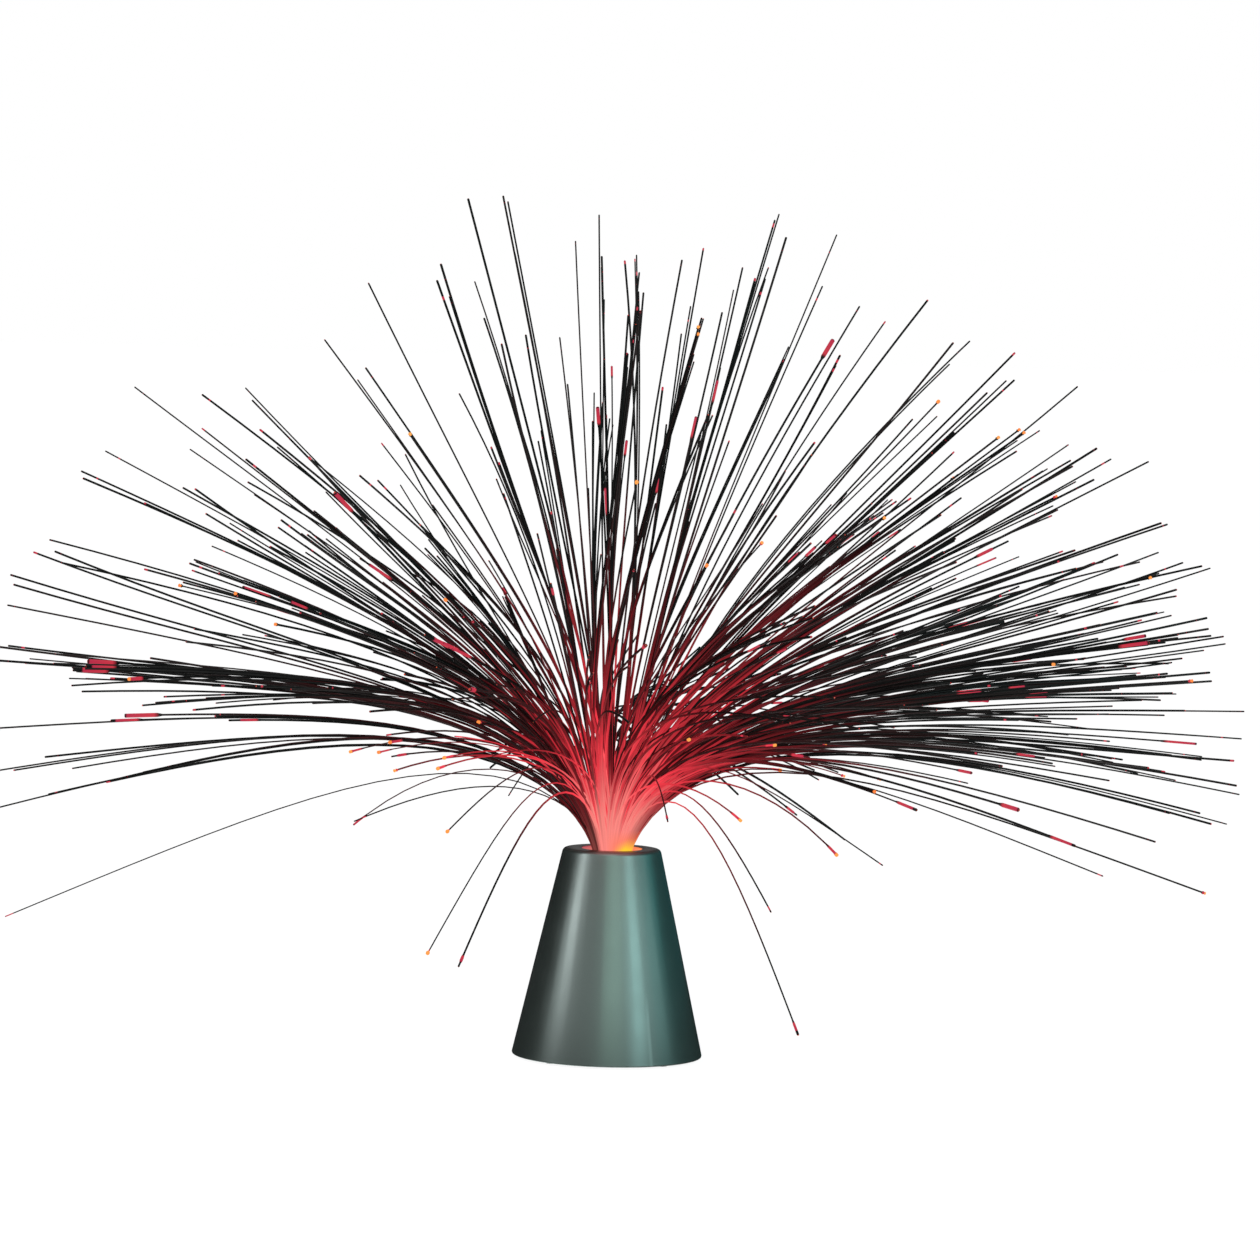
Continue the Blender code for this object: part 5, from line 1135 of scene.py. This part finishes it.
class FIBRELAMP_OT_make_inside(bpy.types.Operator):
    """Make the cells, contacts, switch, board, lights and leads inside the base"""

    bl_idname = "fibre_lamp.make_inside"
    bl_label = "Make the inside"

    def execute(self, context):
        settings = context.scene.fibre_lamp_inside
        angle = context.scene.fibre_lamp_base.edge_degrees
        screw_colour = tuple(context.scene.fibre_lamp_underside.screw_colour)
        screws = plated_metal("inner_screw_plating", screw_colour)
        contacts = plated_metal("contact_plating", tuple(settings.contact_colour), 0.22, (1, 8, 1))
        holder = moulded_plastic("holder_plastic", tuple(settings.holder_colour), 0.45, 1200, 0.015 * MM)
        switch = moulded_plastic("switch_plastic", (0.02, 0.02, 0.022), 0.4)
        chip = moulded_plastic("chip_plastic", (0.015, 0.015, 0.016), 0.55, 2500, 0.01 * MM)
        lead = moulded_plastic("lead_insulation", tuple(settings.lead_colour), 0.36, 1500, 0.01 * MM)
        # Every second cell is turned round.
        for index, node in enumerate(nodes_named("battery_cell")):
            low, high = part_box(node)
            start, end = (low.x, high.x) if index % 2 == 0 else (high.x, low.x)
            jacket = cell_jacket(f"cell_jacket_{index + 1}", settings, start, end)
            skins([node], "jacketed", jacket, angle)
        skins(nodes_named("battery_spring", "contact_"), "plated", contacts, angle)
        skins(nodes_named("board_screw", "holder_screw", "switch_screw"), "plated", screws, angle)
        skins(["light_holder"], "moulded", holder, angle)
        skins(["switch_body"], "moulded", switch, angle)
        skins(["led_board"], "lacquered", board_lacquer(settings), angle)
        skins(["driver_chip"], "moulded", chip, angle)
        skins(["led_1", "led_2", "led_3"], "lens", led_lens(), angle)
        skins(nodes_named("lead_"), "insulated", lead, angle)
        return {"FINISHED"}


def cleared(owner):
    """The nodes and links of a material or world, with nothing in them yet."""
    owner.use_nodes = True
    owner.node_tree.nodes.clear()
    return owner.node_tree.nodes, owner.node_tree.links


def directly_seen(nodes):
    """1 for what the camera sees itself and 0 for what lights the object or shows in its reflections."""
    return nodes.new("ShaderNodeLightPath").outputs["Is Camera Ray"]


def shader_mix(nodes, links, factor, first, second):
    """A shader that goes from the first one to the second as the factor goes from 0 to 1."""
    node = nodes.new("ShaderNodeMixShader")
    for socket, source in zip(node.inputs, (factor, first, second)):
        links.new(source, socket)
    return node.outputs[0]


def white_sky(settings):
    world = bpy.data.worlds.new("pale_studio")
    bpy.context.scene.world = world
    nodes, links = cleared(world)
    lit, seen = nodes.new("ShaderNodeBackground"), nodes.new("ShaderNodeBackground")
    for shader, strength in ((lit, settings.sky_strength), (seen, 1)):
        shader.inputs["Color"].default_value = (1, 1, 1, 1)
        shader.inputs["Strength"].default_value = strength
    mixed = shader_mix(nodes, links, directly_seen(nodes), lit.outputs[0], seen.outputs[0])
    links.new(mixed, nodes.new("ShaderNodeOutputWorld").inputs["Surface"])


def pale_floor(settings):
    """A wide floor that only the camera sees: white with the object's shadow, and clear from below."""
    turns = [FULL_TURN * i / FLOOR_SIDES for i in range(FLOOR_SIDES)]
    points = [Vector((FLOOR_RADIUS * math.cos(turn), FLOOR_RADIUS * math.sin(turn), 0)) for turn in turns]
    mesh = bpy.data.meshes.new("floor")
    mesh.from_pydata(points, [], [tuple(range(FLOOR_SIDES))])
    material = bpy.data.materials.new("floor_paint")
    nodes, links = cleared(material)
    kinds = ("BsdfDiffuse", "Emission", "BsdfTransparent", "AddShader")
    shadow, bright, clear, white = (nodes.new("ShaderNode" + kind) for kind in kinds)
    shadow.inputs["Color"].default_value = (*scaled(settings.floor_colour, 0.3), 1)
    bright.inputs["Color"].default_value = (1, 1, 1, 1)
    bright.inputs["Strength"].default_value = 0.92
    links.new(shadow.outputs[0], white.inputs[0])
    links.new(bright.outputs[0], white.inputs[1])
    above = shader_mix(nodes, links, directly_seen(nodes), clear.outputs[0], white.outputs[0])
    below = nodes.new("ShaderNodeNewGeometry").outputs["Backfacing"]
    both = shader_mix(nodes, links, below, above, clear.outputs[0])
    links.new(both, nodes.new("ShaderNodeOutputMaterial").inputs["Surface"])
    placed("floor", mesh, None, [material])


def dark_flag(name, start_degrees, end_degrees, bottom, top, glow=(0, 0, 0)):
    """A curved dark card that only shows in the object's reflections. glow is the card's own light."""
    points, faces = [], []
    for i in range(FLAG_SIDES + 1):
        turn = math.radians(start_degrees + (end_degrees - start_degrees) * i / FLAG_SIDES)
        for z in (bottom, top):
            points.append(Vector((FLAG_RADIUS * math.sin(turn), -FLAG_RADIUS * math.cos(turn), z)))
    for i in range(FLAG_SIDES):
        faces.append((2 * i, 2 * i + 2, 2 * i + 3, 2 * i + 1))
    mesh = bpy.data.meshes.new(name)
    mesh.from_pydata(points, [], faces)
    finish = Finish(name, (0.01, 0.012, 0.012), 1, Specular_IOR_Level=0)
    finish.glow(glow)
    card = placed(name, mesh, None, [finish.material])
    card.visible_camera = False
    card.visible_shadow = False
    card.visible_diffuse = False


def soft_light(name, azimuth, elevation, distance, width, height, level, colour):
    """A large soft light that faces the object. level is how bright its face looks, where 1 is white."""
    data = bpy.data.lights.new(name, "AREA")
    data.shape = "RECTANGLE"
    data.size, data.size_y = width, height
    data.energy = level * math.pi * width * height
    data.color = colour
    light = bpy.data.objects.new(name, data)
    turn, rise = math.radians(azimuth), math.radians(elevation)
    back = Vector((math.sin(turn) * math.cos(rise), -math.cos(turn) * math.cos(rise), math.sin(rise)))
    light.location = Vector((0, 0, BASE_TOP_Z / 2)) + distance * back
    light.rotation_mode = "QUATERNION"
    light.rotation_quaternion = (-back).to_track_quat("-Z", "Y")
    light.visible_camera = False
    bpy.context.scene.collection.objects.link(light)


def photo_camera(settings):
    """A camera that sees the mouth of the base where the photograph has it, from the same height."""
    data = bpy.data.cameras.new("photo_camera")
    data.sensor_fit = "HORIZONTAL"
    data.sensor_width = 36
    data.lens = settings.lens
    data.clip_start, data.clip_end = 0.05, 2000
    camera = bpy.data.objects.new("photo_camera", data)
    bpy.context.scene.collection.objects.link(camera)
    rise = settings.view_elevation
    back = Vector((0, -math.cos(rise), math.sin(rise)))
    camera.location = Vector((0, 0, BASE_TOP_Z)) + settings.view_distance * back
    pixel = data.sensor_width / PHOTO_SIZE / data.lens
    right, up = settings.mouth_x - PHOTO_SIZE / 2, PHOTO_SIZE / 2 - settings.mouth_y
    aside = Vector((right * pixel, up * pixel, -1)).normalized().rotation_difference(-UP)
    level = (-back).to_track_quat("-Z", "Y")
    camera.rotation_mode = "QUATERNION"
    camera.rotation_quaternion = level @ Quaternion(UP, settings.view_roll) @ aside
    bpy.context.scene.camera = camera


class FIBRELAMP_OT_make_stage(bpy.types.Operator):
    """Make the floor, the soft lights and the camera"""

    bl_idname = "fibre_lamp.make_stage"
    bl_label = "Make the stage"

    def execute(self, context):
        settings = context.scene.fibre_lamp_stage
        context.scene.view_settings.view_transform = "Standard"
        white_sky(settings)
        pale_floor(settings)
        dark_flag("left_flag", -88, -177, 0, FLAG_TOP)
        dark_flag("right_flag", 84, 177, 0, FLAG_TOP, (0.0, 0.06, 0.065))
        dark_flag("low_flag", -180, 180, -0.5, -0.002)
        soft_light("left_light", -70, 24, 1.1, 0.30, 0.8, 1.9, (1.0, 0.95, 0.98))
        soft_light("front_light", 6, 20, 1.2, 0.60, 0.8, 0.62, (0.66, 1.0, 0.86))
        soft_light("right_light", 41, 20, 1.1, 0.36, 0.9, 1.5, (0.62, 1.0, 1.0))
        soft_light("cool_side_light", 84, 18, 0.9, 0.80, 0.7, 0.32, (0.12, 1.0, 1.0))
        soft_light("top_light", 0, 62, 1.6, 1.4, 0.9, 0.9, (1.0, 1.0, 1.0))
        soft_light("under_light", 200, -58, 1.2, 0.9, 0.7, 1.3, (1.0, 1.0, 1.0))
        soft_light("low_front_light", 20, -66, 1.2, 0.7, 0.5, 0.8, (1.0, 1.0, 1.0))
        photo_camera(settings)
        return {"FINISHED"}


# Panel and registration


GROUPS = (
    ("fibre_lamp_base", FIBRELAMP_PG_base, FIBRELAMP_OT_make_base),
    ("fibre_lamp_spray", FIBRELAMP_PG_spray, FIBRELAMP_OT_make_spray),
    ("fibre_lamp_underside", FIBRELAMP_PG_underside, FIBRELAMP_OT_make_underside),
    ("fibre_lamp_inside", FIBRELAMP_PG_inside, FIBRELAMP_OT_make_inside),
    ("fibre_lamp_stage", FIBRELAMP_PG_stage, FIBRELAMP_OT_make_stage),
)


class FIBRELAMP_PT_panel(bpy.types.Panel):
    """Lists each group's sizes and colours with the button that makes it"""

    bl_idname = "FIBRELAMP_PT_panel"
    bl_label = "Fibre Lamp"
    bl_space_type = "VIEW_3D"
    bl_region_type = "UI"
    bl_category = "Fibre Lamp"

    def draw(self, context):
        for pointer, group, operator in GROUPS:
            box = self.layout.box()
            for name in group.__annotations__:
                box.prop(getattr(context.scene, pointer), name)
            box.operator(operator.bl_idname)


def register():
    for pointer, group, operator in GROUPS:
        bpy.utils.register_class(group)
        bpy.utils.register_class(operator)
        setattr(bpy.types.Scene, pointer, PointerProperty(type=group))
    bpy.utils.register_class(FIBRELAMP_PT_panel)


def unregister():
    bpy.utils.unregister_class(FIBRELAMP_PT_panel)
    for pointer, group, operator in reversed(GROUPS):
        delattr(bpy.types.Scene, pointer)
        bpy.utils.unregister_class(operator)
        bpy.utils.unregister_class(group)


def main():
    register()
    bpy.ops.fibre_lamp.make_base()
    bpy.ops.fibre_lamp.make_spray()
    bpy.ops.fibre_lamp.make_underside()
    bpy.ops.fibre_lamp.make_inside()
    bpy.ops.fibre_lamp.make_stage()


if __name__ == "__main__":
    main()
